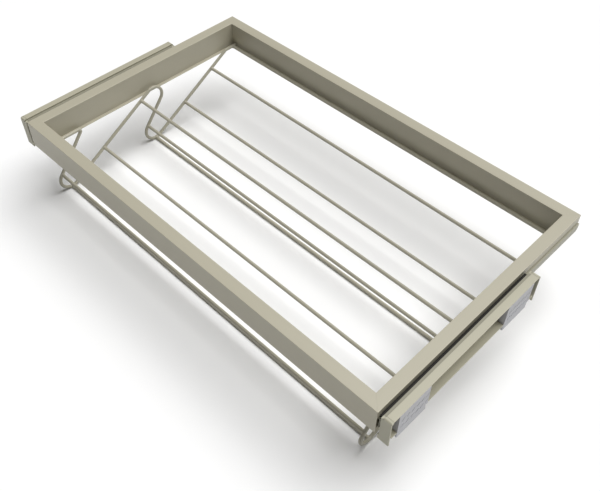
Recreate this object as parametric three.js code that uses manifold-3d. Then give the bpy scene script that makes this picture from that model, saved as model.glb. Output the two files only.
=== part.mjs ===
// Pull-out wardrobe shoe rack: a mitred profile frame on telescopic ball slides,
// with a two-tier wire shelf hung in it and slide covers that carry wall pads.
// Millimetres, +Z up, +X to the right, -Y towards the user (the way it pulls out).
import * as THREE from 'three';
import { mergeVertices } from 'three/addons/utils/BufferGeometryUtils.js';
import Module from 'manifold-3d';

const wasm = await Module();
wasm.setup();

// ---- Fits ----
const JOINT_GAP = 0.3;          // between two pieces that touch
const SCREW_CLEARANCE = 0.3;    // between a screw or rivet and its hole, on the radius
const FACETS = 12;              // sides of a screw, rivet or rod
const WIRE_FACETS = 10;         // sides of a bent side wire

// ---- Frame ----
const FRAME_WIDTH = 788;        // over the side rails
const FRAME_DEPTH = 470;        // front to back
const RAIL_WIDTH = 20;          // seen from above
const RAIL_HEIGHT = 51;
const RAIL_WALL = 1.6;
const LEDGE_WIDTH = 5;          // inner flange that carries the wire shelf
const LEDGE_THICKNESS = 2;
const LEDGE_TOP = 46;           // below the frame's top
const REBATE_DEPTH = 4;         // lower outer corner of a side rail
const GROOVE_DEPTH = 3;         // outer face of a side rail, for the slide
const GROOVE_MARGIN = 1;        // groove beyond the drawer member, above it
const GROOVE_BELOW = 6;         // groove beyond the drawer member, below it
const GROOVE_LAND = 2;          // left between the groove and the rebate

// ---- Corner brackets inside the rails ----
const BRACKET_LEG = 54;
const BRACKET_HEIGHT = 24;
const BRACKET_TOP = 20;         // below the frame's top

// ---- Wire shelf ----
const WIRE_DIAMETER = 6;
const WIRE_INSET = 9;           // wire centre from a side rail's inner wall
const SHELF_DROP = 108;         // wire ends down to the lowest wire centre
const FRONT_FLAT = 81;          // frame's front to the first bend
const REAR_FLAT = 48;           // last bend to the frame's back
const SLOPE_ANGLE = 29.7;       // degrees, where the shoes lie
const LEG_ANGLE = 49.7;         // degrees, the short back of each tier
const LOOP_RADIUS = 20;
const APEX_RADIUS = 18.5;
const BEND_RADIUS = 4;
const ARC_STEP = 18;            // degrees of bend per facet
const HEEL_ROD_AT = 0.378;      // share of a slope
const FRONT_TOE_ROD_AT = 0.892;
const REAR_TOE_ROD_AT = 0.781;
const LEG_ROD_UP = 3.4;         // along a leg from the loop
const TOP_ROD_INSET = 4;        // top rods from the ledge's edge

// ---- Telescopic slides (u is the distance out from a side rail's outer face) ----
const SLIDE_AXIS = 24.5;        // slide centre below the frame's top
const DRAWER_HEIGHT = 15;
const DRAWER_FACE = 2.5;        // u of the drawer member's face
const DRAWER_WALL = 1.2;
const DRAWER_END_RADIUS = 7;
const INNER_RACEWAY = 2.2;      // drawer member to middle member, above and below
const MIDDLE_WALL = 1.1;
const OUTER_RACEWAY = 3;        // middle member to fixed member, above and below
const FIXED_WALL = 1;
const FIXED_FLANGE_WALL = 1.2;
const MEMBER_LIP = 0.6;         // u where the outer members' flanges end
const WEB_GAP = 1.8;            // drawer face to middle web
const OUTER_WEB_GAP = 1.3;      // middle web to fixed web
const INNER_CAGE_WEB = 0.6;
const OUTER_CAGE_WEB = 0.5;
const CAGE_STRIP = 0.8;
const CAGE_LIP = 1;             // u where a cage's strips end
const BALL_GAP = 0.3;           // ball to each raceway
const BALLS_PER_STRIP = 5;
const BALL_FACETS = 8;
const TRAVEL = 300;             // of the frame
const MEMBER_SETBACK = 5;       // from the covers' ends
const CAGE_END_GAP = 3;         // a cage to the end of the overlap it runs in

// ---- Slide covers ----
const COVER_WIDTH = 14.2;
const COVER_LENGTH = 326;       // over both end caps
const COVER_TOP = 1.5;          // below the frame's top
const COVER_HEIGHT = 42;
const COVER_WALL = 1.5;
const BRIM_WIDTH = 4.8;         // of the lower ledge that reaches in over the slide
const BRIM_DROP = 3;
const CAP_THICKNESS = 5;        // where it meets the cover's top
const CAP_PLATE = 2;            // below that
const CAP_HEIGHT = 55;
const CAP_EDGE_RADIUS = 3;
const CAP_BOSS_LENGTH = 1.7;    // into the cover's channel
const CAP_BOSS_WIDTH = 4;
const FOOT_REACH = 1.9;         // in from the cap under the slide
const FOOT_HEIGHT = 10;

// ---- Wall pads ----
const PAD_STAND_OUT = 0.3;      // beyond the cover's lips
const PAD_LENGTH = 62;
const FRONT_PAD_START = 16;     // from the frame's front
const REAR_PAD_START = 248;
const PAD_SLOTS = 6;            // in each of two rows
const PAD_SLOT_PITCH = 9.7;
const PAD_SLOT_START = 4;       // from the pad's front end
const PAD_SLOT_WIDTH = 2.6;
const PAD_SLOT_RISE = 6;
const PAD_SLOT_LEAN = 6;
const PAD_SLOT_DEPTH = 2.5;
const PAD_SLOT_ROWS = [22, 37]; // lower ends of the slots, below the frame's top
const PAD_SCREW_DROP = 26.5;    // below the frame's top, between the rows
const APRON_DROP = 12;          // below the cover
const APRON_THICKNESS = 3;
const APRON_STEP = 4;           // shorter at the rear than the pad above it

// ---- Fasteners ----
const SCREW_RADIUS = 2;
const SCREW_HEAD_RADIUS = 3.6;
const SCREW_HEAD_INSET = 0.1;
const DRAWER_SCREW_LENGTH = 9;
const FRONT_DRAWER_SCREW = 84;  // from the frame's front
const REAR_DRAWER_SCREW = 300;
const PAD_SCREW_LENGTH = 11;
const RIVET_RADIUS = 2;
const RIVET_HEAD_RADIUS = 3;
const RIVET_TAIL_RADIUS = 3.2;
const RIVET_TAIL_LENGTH = 1.2;
const FRONT_RIVET = 92;         // from the frame's front
const REAR_RIVET = 214;
const STOP_LENGTH = 5;          // rubber stop in the fixed member
const STOP_HEIGHT = 8;

// ---- Places that follow from the sizes (y from the frame's front, z from its top) ----
const HALF_WIDTH = FRAME_WIDTH / 2;
const WIRE_RADIUS = WIRE_DIAMETER / 2;
const SHELF_Z = WIRE_RADIUS + JOINT_GAP - LEDGE_TOP;
const WIRE_X = HALF_WIDTH - RAIL_WIDTH - WIRE_INSET;
const TOTAL_HEIGHT = SHELF_DROP + WIRE_RADIUS - SHELF_Z;
const GROOVE_TOP = GROOVE_MARGIN + DRAWER_HEIGHT / 2 - SLIDE_AXIS;
const GROOVE_BOTTOM = -GROOVE_BELOW - DRAWER_HEIGHT / 2 - SLIDE_AXIS;
const REBATE_TOP = GROOVE_BOTTOM - GROOVE_LAND;
const MIDDLE_HEIGHT = DRAWER_HEIGHT + 2 * (INNER_RACEWAY + MIDDLE_WALL);
const FIXED_HEIGHT = MIDDLE_HEIGHT + 2 * (OUTER_RACEWAY + FIXED_FLANGE_WALL);
const MIDDLE_WEB = DRAWER_FACE + WEB_GAP;
const FIXED_WEB = MIDDLE_WEB + MIDDLE_WALL + OUTER_WEB_GAP;
const COVER_FACE = FIXED_WEB + FIXED_WALL + JOINT_GAP;
const COVER_LIP = COVER_FACE + COVER_WIDTH;
const PAD_FACE = COVER_LIP + PAD_STAND_OUT;
const BRIM_EDGE = MIDDLE_WEB + MIDDLE_WALL + JOINT_GAP;
const BRIM_STEP = BRIM_EDGE + BRIM_WIDTH;
const BRIM_UNDER = -COVER_TOP - BRIM_DROP - COVER_WALL;
const DRAWER_START = GROOVE_DEPTH + 2 * JOINT_GAP;
const DRAWER_END = FRAME_DEPTH - JOINT_GAP;
const FIXED_START = MEMBER_SETBACK;
const FIXED_END = COVER_LENGTH - MEMBER_SETBACK;
const MIDDLE_END = FIXED_END - STOP_LENGTH - JOINT_GAP;
const CAGE_START = FIXED_START + TRAVEL / 4 + CAGE_END_GAP;
const CAGE_END = MIDDLE_END - TRAVEL / 4 - CAGE_END_GAP;
const COVER_BOTTOM = -COVER_TOP - COVER_HEIGHT;
const PAD_TOP = -COVER_TOP - COVER_WALL - JOINT_GAP;
const PAD_BOTTOM = COVER_BOTTOM + COVER_WALL + JOINT_GAP;
const PAD_SCREW_Z = -PAD_SCREW_DROP;
const APRON_BOTTOM = COVER_BOTTOM - APRON_DROP;
const APRON_INNER = PAD_FACE - APRON_THICKNESS;
const REBATE_INNER = REBATE_DEPTH + RAIL_WALL;

// ---- Finishes ----
const finish = (color, roughness, metalness) =>
  new THREE.MeshStandardMaterial({ color, roughness, metalness });
const framePaint = () => finish(0xbdb7a4, 0.5, 0.1);
const wirePaint = () => finish(0xb0ab98, 0.45, 0.1);
const coverPaint = () => finish(0xbfb9a7, 0.5, 0.1);
const capPlastic = () => finish(0xaaa592, 0.55, 0);
const padPlastic = () => finish(0xa1a1a4, 0.6, 0);
const slideSteel = () => finish(0xa8a8ab, 0.35, 0.9);
const cageSteel = () => finish(0x8e9094, 0.4, 0.9);
const screwSteel = () => finish(0xb4b5b8, 0.3, 0.9);
const bracketZinc = () => finish(0x9c9ea1, 0.5, 0.8);
const stopRubber = () => finish(0x2a2a2b, 0.85, 0);

// ---- Building blocks ----
const X_AXIS = new THREE.Vector3(1, 0, 0);
const Y_AXIS = new THREE.Vector3(0, 1, 0);
const Z_AXIS = new THREE.Vector3(0, 0, 1);
const radians = THREE.MathUtils.degToRad;
const vectors = (points) => points.map(([a, b]) => new THREE.Vector2(a, b));

// A prism over a flat outline, from z = 0 up.
function prism(outline, length, holes = []) {
  const shape = new THREE.Shape(vectors(outline));
  shape.holes = holes.map((hole) => new THREE.Path(vectors(hole)));
  return new THREE.ExtrudeGeometry(shape, { depth: length, bevelEnabled: false });
}

// An outline of [y, z] points run along X.
function alongX(outline, x0, x1, holes) {
  const turn = new THREE.Matrix4().makeBasis(Y_AXIS, Z_AXIS, X_AXIS);
  return prism(outline, x1 - x0, holes).applyMatrix4(turn).translate(x0, 0, 0);
}

// An outline of [x, z] points run along Y.
function alongY(outline, y0, y1, holes) {
  const turn = new THREE.Matrix4().makeBasis(X_AXIS, Z_AXIS, Y_AXIS.clone().negate());
  return prism(outline, y1 - y0, holes).applyMatrix4(turn).translate(0, y1, 0);
}

// An outline of [x, y] points run along Z.
function alongZ(outline, z0, z1) {
  return prism(outline, z1 - z0).translate(0, 0, z0);
}

// Corners of a rectangle.
const rectangle = (a0, a1, b0, b1) => [[a0, b0], [a1, b0], [a1, b1], [a0, b1]];

// A closed geometry as a solid for joining and cutting.
function solid(geometry) {
  const bare = geometry.clone();
  bare.deleteAttribute('normal');
  bare.deleteAttribute('uv');
  const welded = mergeVertices(bare, 1e-4);
  return new wasm.Manifold(new wasm.Mesh({
    numProp: 3,
    vertProperties: new Float32Array(welded.attributes.position.array),
    triVerts: new Uint32Array(welded.index.array),
  }));
}

// A joined or cut solid back as a geometry.
function shapeOf(body) {
  const mesh = body.getMesh();
  const geometry = new THREE.BufferGeometry();
  geometry.setAttribute('position', new THREE.BufferAttribute(mesh.vertProperties, 3));
  geometry.setIndex(new THREE.BufferAttribute(mesh.triVerts, 1));
  geometry.computeVertexNormals();
  return geometry;
}

// A geometry with others cut away.
function cut(geometry, tools) {
  return shapeOf(tools.reduce((body, tool) => body.subtract(solid(tool)), solid(geometry)));
}

// What two geometries share.
const common = (a, b) => shapeOf(solid(a).intersect(solid(b)));

// A named piece with its own finish.
function piece(name, geometry, material) {
  const mesh = new THREE.Mesh(geometry, material);
  mesh.name = name;
  return mesh;
}

// A named group of pieces.
function assembly(name, pieces) {
  const group = new THREE.Group();
  group.name = name;
  group.add(...pieces);
  return group;
}

// A profile of [radius, distance] points turned about its axis and set at [u, y, z] on one
// side, running outwards (out = 1) or inwards (out = -1).
function turned(profile, side, out, [u, y, z]) {
  const geometry = new THREE.LatheGeometry(vectors(profile), FACETS);
  geometry.rotateZ(-side * out * Math.PI / 2);
  return geometry.translate(side * (HALF_WIDTH + u), y, z);
}

// An outline of [u, z] points placed on one side (+1 right, -1 left).
const onSide = (side, outline) => outline.map(([u, z]) => [side * (HALF_WIDTH + u), z]);

// ---- Frame ----
// Rail outline as [distance in from the outer face, z].
function plainRailOutline() {
  const inner = RAIL_WIDTH + LEDGE_WIDTH;
  return [
    [0, 0],
    [0, -RAIL_HEIGHT],
    [RAIL_WIDTH, -RAIL_HEIGHT],
    [RAIL_WIDTH, -LEDGE_TOP - LEDGE_THICKNESS],
    [inner, -LEDGE_TOP - LEDGE_THICKNESS],
    [inner, -LEDGE_TOP],
    [RAIL_WIDTH, -LEDGE_TOP],
    [RAIL_WIDTH, 0],
  ];
}

// The same with a groove for the slide and a rebate below it.
function sideRailOutline() {
  return [
    [0, 0],
    [0, GROOVE_TOP],
    [GROOVE_DEPTH, GROOVE_TOP],
    [GROOVE_DEPTH, GROOVE_BOTTOM],
    [0, GROOVE_BOTTOM],
    [0, REBATE_TOP],
    [REBATE_DEPTH, REBATE_TOP],
    [REBATE_DEPTH, -RAIL_HEIGHT],
    ...plainRailOutline().slice(2),
  ];
}

const plainRailChamber = () =>
  rectangle(RAIL_WALL, RAIL_WIDTH - RAIL_WALL, RAIL_WALL - RAIL_HEIGHT, -RAIL_WALL);

function sideRailChamber() {
  const far = RAIL_WIDTH - RAIL_WALL;
  return [
    [RAIL_WALL, -RAIL_WALL],
    [RAIL_WALL, GROOVE_TOP + RAIL_WALL],
    [REBATE_INNER, GROOVE_TOP + RAIL_WALL],
    [REBATE_INNER, RAIL_WALL - RAIL_HEIGHT],
    [far, RAIL_WALL - RAIL_HEIGHT],
    [far, -RAIL_WALL],
  ];
}

// A hollow rail along X with its outer face at y = 0 and both ends mitred.
function mitredRail(length, outline, chamber) {
  const reach = RAIL_WIDTH + LEDGE_WIDTH + 1;
  const end = length / 2 - JOINT_GAP / Math.SQRT2;
  const plan = [
    [-end - 1, -1],
    [end + 1, -1],
    [end - reach, reach],
    [reach - end, reach],
  ];
  const bar = alongX(outline, -length / 2, length / 2, [chamber]);
  return common(bar, alongZ(plan, -RAIL_HEIGHT - 1, 1));
}

// Both ends of the rear rail let the drawer members run past, and carry the rebate on.
function rearRailShape() {
  const rail = mitredRail(FRAME_WIDTH, plainRailOutline(), plainRailChamber());
  const reach = GROOVE_DEPTH + JOINT_GAP;
  const notches = [-1, 1].flatMap((end) => {
    const across = (depth) => [end * (HALF_WIDTH + 1), end * (HALF_WIDTH - depth)]
      .sort((a, b) => a - b);
    return [
      alongX(rectangle(-1, reach, GROOVE_BOTTOM, GROOVE_TOP), ...across(reach + 1)),
      alongX(rectangle(-1, RAIL_WIDTH, -RAIL_HEIGHT - 1, REBATE_TOP), ...across(REBATE_DEPTH)),
    ];
  });
  return cut(rail, notches);
}

function sideRailShape(side) {
  const rail = mitredRail(FRAME_DEPTH, sideRailOutline(), sideRailChamber());
  const radius = SCREW_RADIUS + SCREW_CLEARANCE;
  const holes = [FRONT_DRAWER_SCREW, REAR_DRAWER_SCREW].map((y) => {
    const hole = new THREE.CylinderGeometry(radius, radius, 2 * REBATE_INNER, FACETS);
    return hole.translate(side * (y - FRAME_DEPTH / 2), REBATE_INNER / 2, -SLIDE_AXIS);
  });
  return cut(rail, holes);
}

function frameRails() {
  const front = piece(
    'rail_front',
    mitredRail(FRAME_WIDTH, plainRailOutline(), plainRailChamber()),
    framePaint(),
  );
  const rear = piece('rail_rear', rearRailShape(), framePaint());
  rear.rotation.z = Math.PI;
  rear.position.y = FRAME_DEPTH;
  const sides = [['rail_left', -1], ['rail_right', 1]].map(([name, side]) => {
    const rail = piece(name, sideRailShape(side), framePaint());
    rail.rotation.z = side * Math.PI / 2;
    rail.position.set(side * HALF_WIDTH, FRAME_DEPTH / 2, 0);
    return rail;
  });
  return [front, rear, ...sides];
}

// An L inside each corner that joins two rails.
function cornerBracket(name, side, end) {
  const near = REBATE_INNER + JOINT_GAP;
  const far = RAIL_WIDTH - RAIL_WALL - JOINT_GAP;
  const tip = near + BRACKET_LEG;
  const plan = [[near, near], [tip, near], [tip, far], [far, far], [far, tip], [near, tip]];
  const placed = plan.map(([a, b]) => [
    side * (HALF_WIDTH - a),
    end < 0 ? b : FRAME_DEPTH - b,
  ]);
  const bracket = alongZ(placed, -BRACKET_TOP - BRACKET_HEIGHT, -BRACKET_TOP);
  return piece(name, bracket, bracketZinc());
}

function cornerBrackets() {
  return [
    cornerBracket('bracket_front_left', -1, -1),
    cornerBracket('bracket_front_right', 1, -1),
    cornerBracket('bracket_rear_left', -1, 1),
    cornerBracket('bracket_rear_right', 1, 1),
  ];
}

// ---- Wire shelf ----
// One tier, from its top bend at [y, SHELF_Z]: down the leg, round the loop, up the slope.
function tier(y) {
  const slope = radians(SLOPE_ANGLE);
  const leg = radians(LEG_ANGLE);
  const centreZ = SHELF_Z - SHELF_DROP + LOOP_RADIUS;
  const run = (SHELF_Z - centreZ - LOOP_RADIUS * Math.cos(leg)) / Math.sin(leg);
  const legFoot = [y - run * Math.cos(leg), SHELF_Z - run * Math.sin(leg)];
  const centre = [legFoot[0] + LOOP_RADIUS * Math.sin(leg), centreZ];
  const heel = [
    centre[0] + LOOP_RADIUS * Math.sin(slope),
    centre[1] - LOOP_RADIUS * Math.cos(slope),
  ];
  return { legFoot, centre, heel };
}

// Points round a bend from one angle to another, both in degrees.
function bend(centre, radius, from, to) {
  const steps = Math.max(2, Math.ceil(Math.abs(to - from) / ARC_STEP));
  return Array.from({ length: steps + 1 }, (_, i) => {
    const angle = radians(from + (to - from) * i / steps);
    return [centre[0] + radius * Math.cos(angle), centre[1] + radius * Math.sin(angle)];
  });
}

// Bends and straights of a side wire as [y, z], with the tiers it makes.
function shelfLine() {
  const slope = radians(SLOPE_ANGLE);
  const leg = radians(LEG_ANGLE);
  const reach = tier(0).heel[0] + (SHELF_Z - tier(0).heel[1]) / Math.tan(slope);
  const secondTop = FRAME_DEPTH - REAR_FLAT - reach;
  const front = tier(FRONT_FLAT);
  const rear = tier(secondTop);
  const rearTop = [FRAME_DEPTH - REAR_FLAT, SHELF_Z];
  // The apex between the tiers: where the first slope meets the second leg, rounded.
  const rise = Math.tan(slope);
  const fall = Math.tan(leg);
  const tipY = (rear.legFoot[1] - front.heel[1] + rise * front.heel[0] - fall * rear.legFoot[0])
    / (rise - fall);
  const tip = [tipY, front.heel[1] + rise * (tipY - front.heel[0])];
  // The wire doubles back at the tip, between the slope and the leg below it.
  const half = radians((LEG_ANGLE - SLOPE_ANGLE) / 2);
  const middle = radians((LEG_ANGLE + SLOPE_ANGLE) / 2);
  const back = APEX_RADIUS / Math.sin(half);
  const apex = [tip[0] - back * Math.cos(middle), tip[1] - back * Math.sin(middle)];
  // The first bend doubles back from level to the leg.
  const firstBack = BEND_RADIUS / Math.tan(radians(LEG_ANGLE / 2));
  const first = [FRONT_FLAT - firstBack, SHELF_Z - BEND_RADIUS];
  // The last bend levels out on the rear ledge.
  const lastBack = BEND_RADIUS * Math.tan(slope / 2);
  const last = [rearTop[0] + lastBack, SHELF_Z - BEND_RADIUS];
  const margin = RAIL_WIDTH + 2 * JOINT_GAP;
  const line = [
    [margin, SHELF_Z],
    ...bend(first, BEND_RADIUS, 90, LEG_ANGLE - 90),
    ...bend(front.centre, LOOP_RADIUS, LEG_ANGLE + 90, 270 + SLOPE_ANGLE),
    ...bend(apex, APEX_RADIUS, 90 + SLOPE_ANGLE, LEG_ANGLE - 90),
    ...bend(rear.centre, LOOP_RADIUS, LEG_ANGLE + 90, 270 + SLOPE_ANGLE),
    ...bend(last, BEND_RADIUS, 90 + SLOPE_ANGLE, 90),
    [FRAME_DEPTH - margin, SHELF_Z],
  ];
  const slope90 = slope + Math.PI / 2;
  const apexStart = [
    apex[0] + APEX_RADIUS * Math.cos(slope90),
    apex[1] + APEX_RADIUS * Math.sin(slope90),
  ];
  return { line, front, rear, apexStart, rearTop };
}

// A path through given points whose sections stand square to the bend at each.
class WirePath extends THREE.Curve {
  constructor(points) {
    super();
    this.points = points;
  }

  getPoint(t) {
    const last = this.points.length - 1;
    const index = Math.min(Math.floor(t * last + 1e-6), last - 1);
    return this.points[index].clone().lerp(this.points[index + 1], t * last - index);
  }

  getPointAt(u) {
    return this.getPoint(u);
  }

  getTangentAt(u) {
    const last = this.points.length - 1;
    const index = Math.round(u * last);
    const tangent = new THREE.Vector3();
    if (index > 0) {
      tangent.add(this.points[index].clone().sub(this.points[index - 1]).normalize());
    }
    if (index < last) {
      tangent.add(this.points[index + 1].clone().sub(this.points[index]).normalize());
    }
    return tangent.normalize();
  }
}

function sideWire(name, side) {
  const points = shelfLine().line.map(([y, z]) => new THREE.Vector3(side * WIRE_X, y, z));
  const section = Array.from({ length: WIRE_FACETS }, (_, i) => {
    const angle = 2 * Math.PI * i / WIRE_FACETS;
    return [WIRE_RADIUS * Math.cos(angle), WIRE_RADIUS * Math.sin(angle)];
  });
  const wire = new THREE.ExtrudeGeometry(new THREE.Shape(vectors(section)), {
    steps: points.length - 1,
    extrudePath: new WirePath(points),
    bevelEnabled: false,
  });
  return piece(name, wire, wirePaint());
}

// A straight rod welded between the two side wires.
function rod(name, [y, z]) {
  const length = 2 * (WIRE_X - WIRE_RADIUS - JOINT_GAP);
  const bar = new THREE.CylinderGeometry(WIRE_RADIUS, WIRE_RADIUS, length, FACETS);
  bar.rotateZ(Math.PI / 2).translate(0, y, z);
  return piece(name, bar, wirePaint());
}

// A point a share of the way from one place to another.
const between = (a, b, share) => [a[0] + (b[0] - a[0]) * share, a[1] + (b[1] - a[1]) * share];

function tierRods(name, { legFoot, centre, heel }, slopeTop, toeAt) {
  const up = [Math.cos(radians(LEG_ANGLE)), Math.sin(radians(LEG_ANGLE))];
  return [
    rod(`rod_${name}_leg`, [legFoot[0] + LEG_ROD_UP * up[0], legFoot[1] + LEG_ROD_UP * up[1]]),
    rod(`rod_${name}_loop`, [centre[0], centre[1] - LOOP_RADIUS]),
    rod(`rod_${name}_heel`, between(heel, slopeTop, HEEL_ROD_AT)),
    rod(`rod_${name}_toe`, between(heel, slopeTop, toeAt)),
  ];
}

function wireShelf() {
  const { front, rear, apexStart, rearTop } = shelfLine();
  const topRodY = RAIL_WIDTH + LEDGE_WIDTH + TOP_ROD_INSET;
  return [
    sideWire('wire_left', -1),
    sideWire('wire_right', 1),
    rod('rod_top_front', [topRodY, SHELF_Z]),
    ...tierRods('front', front, apexStart, FRONT_TOE_ROD_AT),
    ...tierRods('rear', rear, rearTop, REAR_TOE_ROD_AT),
    rod('rod_top_rear', [FRAME_DEPTH - topRodY, SHELF_Z]),
  ];
}

// ---- Slides ----
// A channel whose web is at u0..u1 and whose flanges reach back to the lip.
function channel(u0, u1, lip, height, flangeWall) {
  const top = height / 2 - SLIDE_AXIS;
  const bottom = -height / 2 - SLIDE_AXIS;
  return [
    [lip, top],
    [u1, top],
    [u1, bottom],
    [lip, bottom],
    [lip, bottom + flangeWall],
    [u0, bottom + flangeWall],
    [u0, top - flangeWall],
    [lip, top - flangeWall],
  ];
}

// A countersunk screw and the hole that takes it.
const screwProfile = (length) => [
  [0, 0],
  [SCREW_HEAD_RADIUS, 0],
  [SCREW_RADIUS, SCREW_HEAD_RADIUS - SCREW_RADIUS],
  [SCREW_RADIUS, length],
  [0, length],
];

const screwHole = (length) => [
  [0, -1],
  [SCREW_HEAD_RADIUS + SCREW_CLEARANCE, -1],
  [SCREW_HEAD_RADIUS + SCREW_CLEARANCE, 0],
  [SCREW_RADIUS + SCREW_CLEARANCE, SCREW_HEAD_RADIUS - SCREW_RADIUS],
  [SCREW_RADIUS + SCREW_CLEARANCE, length + SCREW_CLEARANCE],
  [0, length + SCREW_CLEARANCE],
];

// A rivet through the fixed member and the cover, with its formed tail, and its hole.
const RIVET_GRIP = FIXED_WALL + JOINT_GAP + COVER_WALL + JOINT_GAP;
const rivetProfile = () => [
  [0, 0],
  [RIVET_HEAD_RADIUS, 0],
  [RIVET_RADIUS, RIVET_HEAD_RADIUS - RIVET_RADIUS],
  [RIVET_RADIUS, RIVET_GRIP],
  [RIVET_TAIL_RADIUS, RIVET_GRIP],
  [RIVET_TAIL_RADIUS, RIVET_GRIP + RIVET_TAIL_LENGTH],
  [0, RIVET_GRIP + RIVET_TAIL_LENGTH],
];

const rivetHole = () => [
  [0, -1],
  [RIVET_HEAD_RADIUS + SCREW_CLEARANCE, -1],
  [RIVET_HEAD_RADIUS + SCREW_CLEARANCE, 0],
  [RIVET_RADIUS + SCREW_CLEARANCE, RIVET_HEAD_RADIUS - RIVET_RADIUS],
  [RIVET_RADIUS + SCREW_CLEARANCE, RIVET_GRIP + 1],
  [0, RIVET_GRIP + 1],
];

const drawerScrewPlaces = () =>
  [FRONT_DRAWER_SCREW, REAR_DRAWER_SCREW].map((y) =>
    [DRAWER_FACE - SCREW_HEAD_INSET, y, -SLIDE_AXIS]);

const rivetPlaces = () =>
  [FRONT_RIVET, REAR_RIVET].map((y) => [FIXED_WEB, y, -SLIDE_AXIS]);

const padScrewPlaces = () =>
  [FRONT_PAD_START, REAR_PAD_START].map((start) =>
    [COVER_FACE + SCREW_HEAD_INSET, start + PAD_LENGTH / 2, PAD_SCREW_Z]);

// Drawer member: its face shows on the side rail, with the lower rear corner rounded.
function drawerMember(name, side) {
  const outline = channel(
    DRAWER_FACE - DRAWER_WALL,
    DRAWER_FACE,
    JOINT_GAP - GROOVE_DEPTH,
    DRAWER_HEIGHT,
    DRAWER_WALL,
  );
  const bar = alongY(onSide(side, outline), DRAWER_START, DRAWER_END);
  const top = DRAWER_HEIGHT / 2 - SLIDE_AXIS;
  const bottom = -DRAWER_HEIGHT / 2 - SLIDE_AXIS;
  const corner = [DRAWER_END - DRAWER_END_RADIUS, bottom + DRAWER_END_RADIUS];
  const elevation = [
    [DRAWER_START - 1, top + 1],
    [DRAWER_START - 1, bottom - 1],
    [corner[0], bottom - 1],
    ...bend(corner, DRAWER_END_RADIUS, -90, 0),
    [DRAWER_END, top + 1],
  ];
  const x = [side * (HALF_WIDTH - REBATE_DEPTH), side * (HALF_WIDTH + COVER_FACE)];
  const trim = alongX(elevation, Math.min(...x), Math.max(...x));
  const sinks = drawerScrewPlaces().map((place) =>
    turned(screwHole(DRAWER_SCREW_LENGTH), side, -1, place));
  return piece(name, cut(common(bar, trim), sinks), slideSteel());
}

function middleMember(name, side) {
  const outline = channel(
    MIDDLE_WEB,
    MIDDLE_WEB + MIDDLE_WALL,
    MEMBER_LIP,
    MIDDLE_HEIGHT,
    MIDDLE_WALL,
  );
  return piece(name, alongY(onSide(side, outline), FIXED_START, MIDDLE_END), slideSteel());
}

function fixedMember(name, side) {
  const outline = channel(
    FIXED_WEB,
    FIXED_WEB + FIXED_WALL,
    MEMBER_LIP,
    FIXED_HEIGHT,
    FIXED_FLANGE_WALL,
  );
  const bar = alongY(onSide(side, outline), FIXED_START, FIXED_END);
  const sinks = rivetPlaces().map((place) => turned(rivetHole(), side, 1, place));
  return piece(name, cut(bar, sinks), slideSteel());
}

// A ball cage: a thin channel whose two strips carry the balls between the raceways.
function cage(name, side, web, webWall, innerHeight, raceway) {
  const track = innerHeight / 2 + raceway / 2;
  const outline = channel(web, web + webWall, CAGE_LIP, 2 * track + CAGE_STRIP, CAGE_STRIP);
  const bar = alongY(onSide(side, outline), CAGE_START, CAGE_END);
  const pitch = (CAGE_END - CAGE_START) / BALLS_PER_STRIP;
  const u = (CAGE_LIP + web) / 2;
  let body = solid(bar);
  for (const level of [-track, track]) {
    for (let i = 0; i < BALLS_PER_STRIP; i += 1) {
      const ball = new THREE.SphereGeometry(raceway / 2 - BALL_GAP, BALL_FACETS, BALL_FACETS - 2);
      const y = CAGE_START + pitch * (i + 0.5);
      ball.translate(side * (HALF_WIDTH + u), y, level - SLIDE_AXIS);
      body = body.add(solid(ball));
    }
  }
  return piece(name, shapeOf(body), cageSteel());
}

function innerCage(name, side) {
  const web = (DRAWER_FACE + MIDDLE_WEB - INNER_CAGE_WEB) / 2;
  return cage(name, side, web, INNER_CAGE_WEB, DRAWER_HEIGHT, INNER_RACEWAY);
}

function outerCage(name, side) {
  const web = (MIDDLE_WEB + MIDDLE_WALL + FIXED_WEB - OUTER_CAGE_WEB) / 2;
  return cage(name, side, web, OUTER_CAGE_WEB, MIDDLE_HEIGHT, OUTER_RACEWAY);
}

// The rubber stop that the middle member closes against.
function slideStop(name, side) {
  const outline = rectangle(
    DRAWER_FACE + 2 * JOINT_GAP,
    FIXED_WEB - JOINT_GAP,
    -STOP_HEIGHT / 2 - SLIDE_AXIS,
    STOP_HEIGHT / 2 - SLIDE_AXIS,
  );
  const block = alongY(onSide(side, outline), FIXED_END - STOP_LENGTH, FIXED_END);
  return piece(name, block, stopRubber());
}

// ---- Covers ----
// The outline of the top of a cover or cap, from its lower brim to its lip.
const brimOutline = () => [
  [BRIM_EDGE, -COVER_TOP - BRIM_DROP],
  [BRIM_STEP, -COVER_TOP - BRIM_DROP],
  [BRIM_STEP, -COVER_TOP],
  [COVER_LIP, -COVER_TOP],
];

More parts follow.
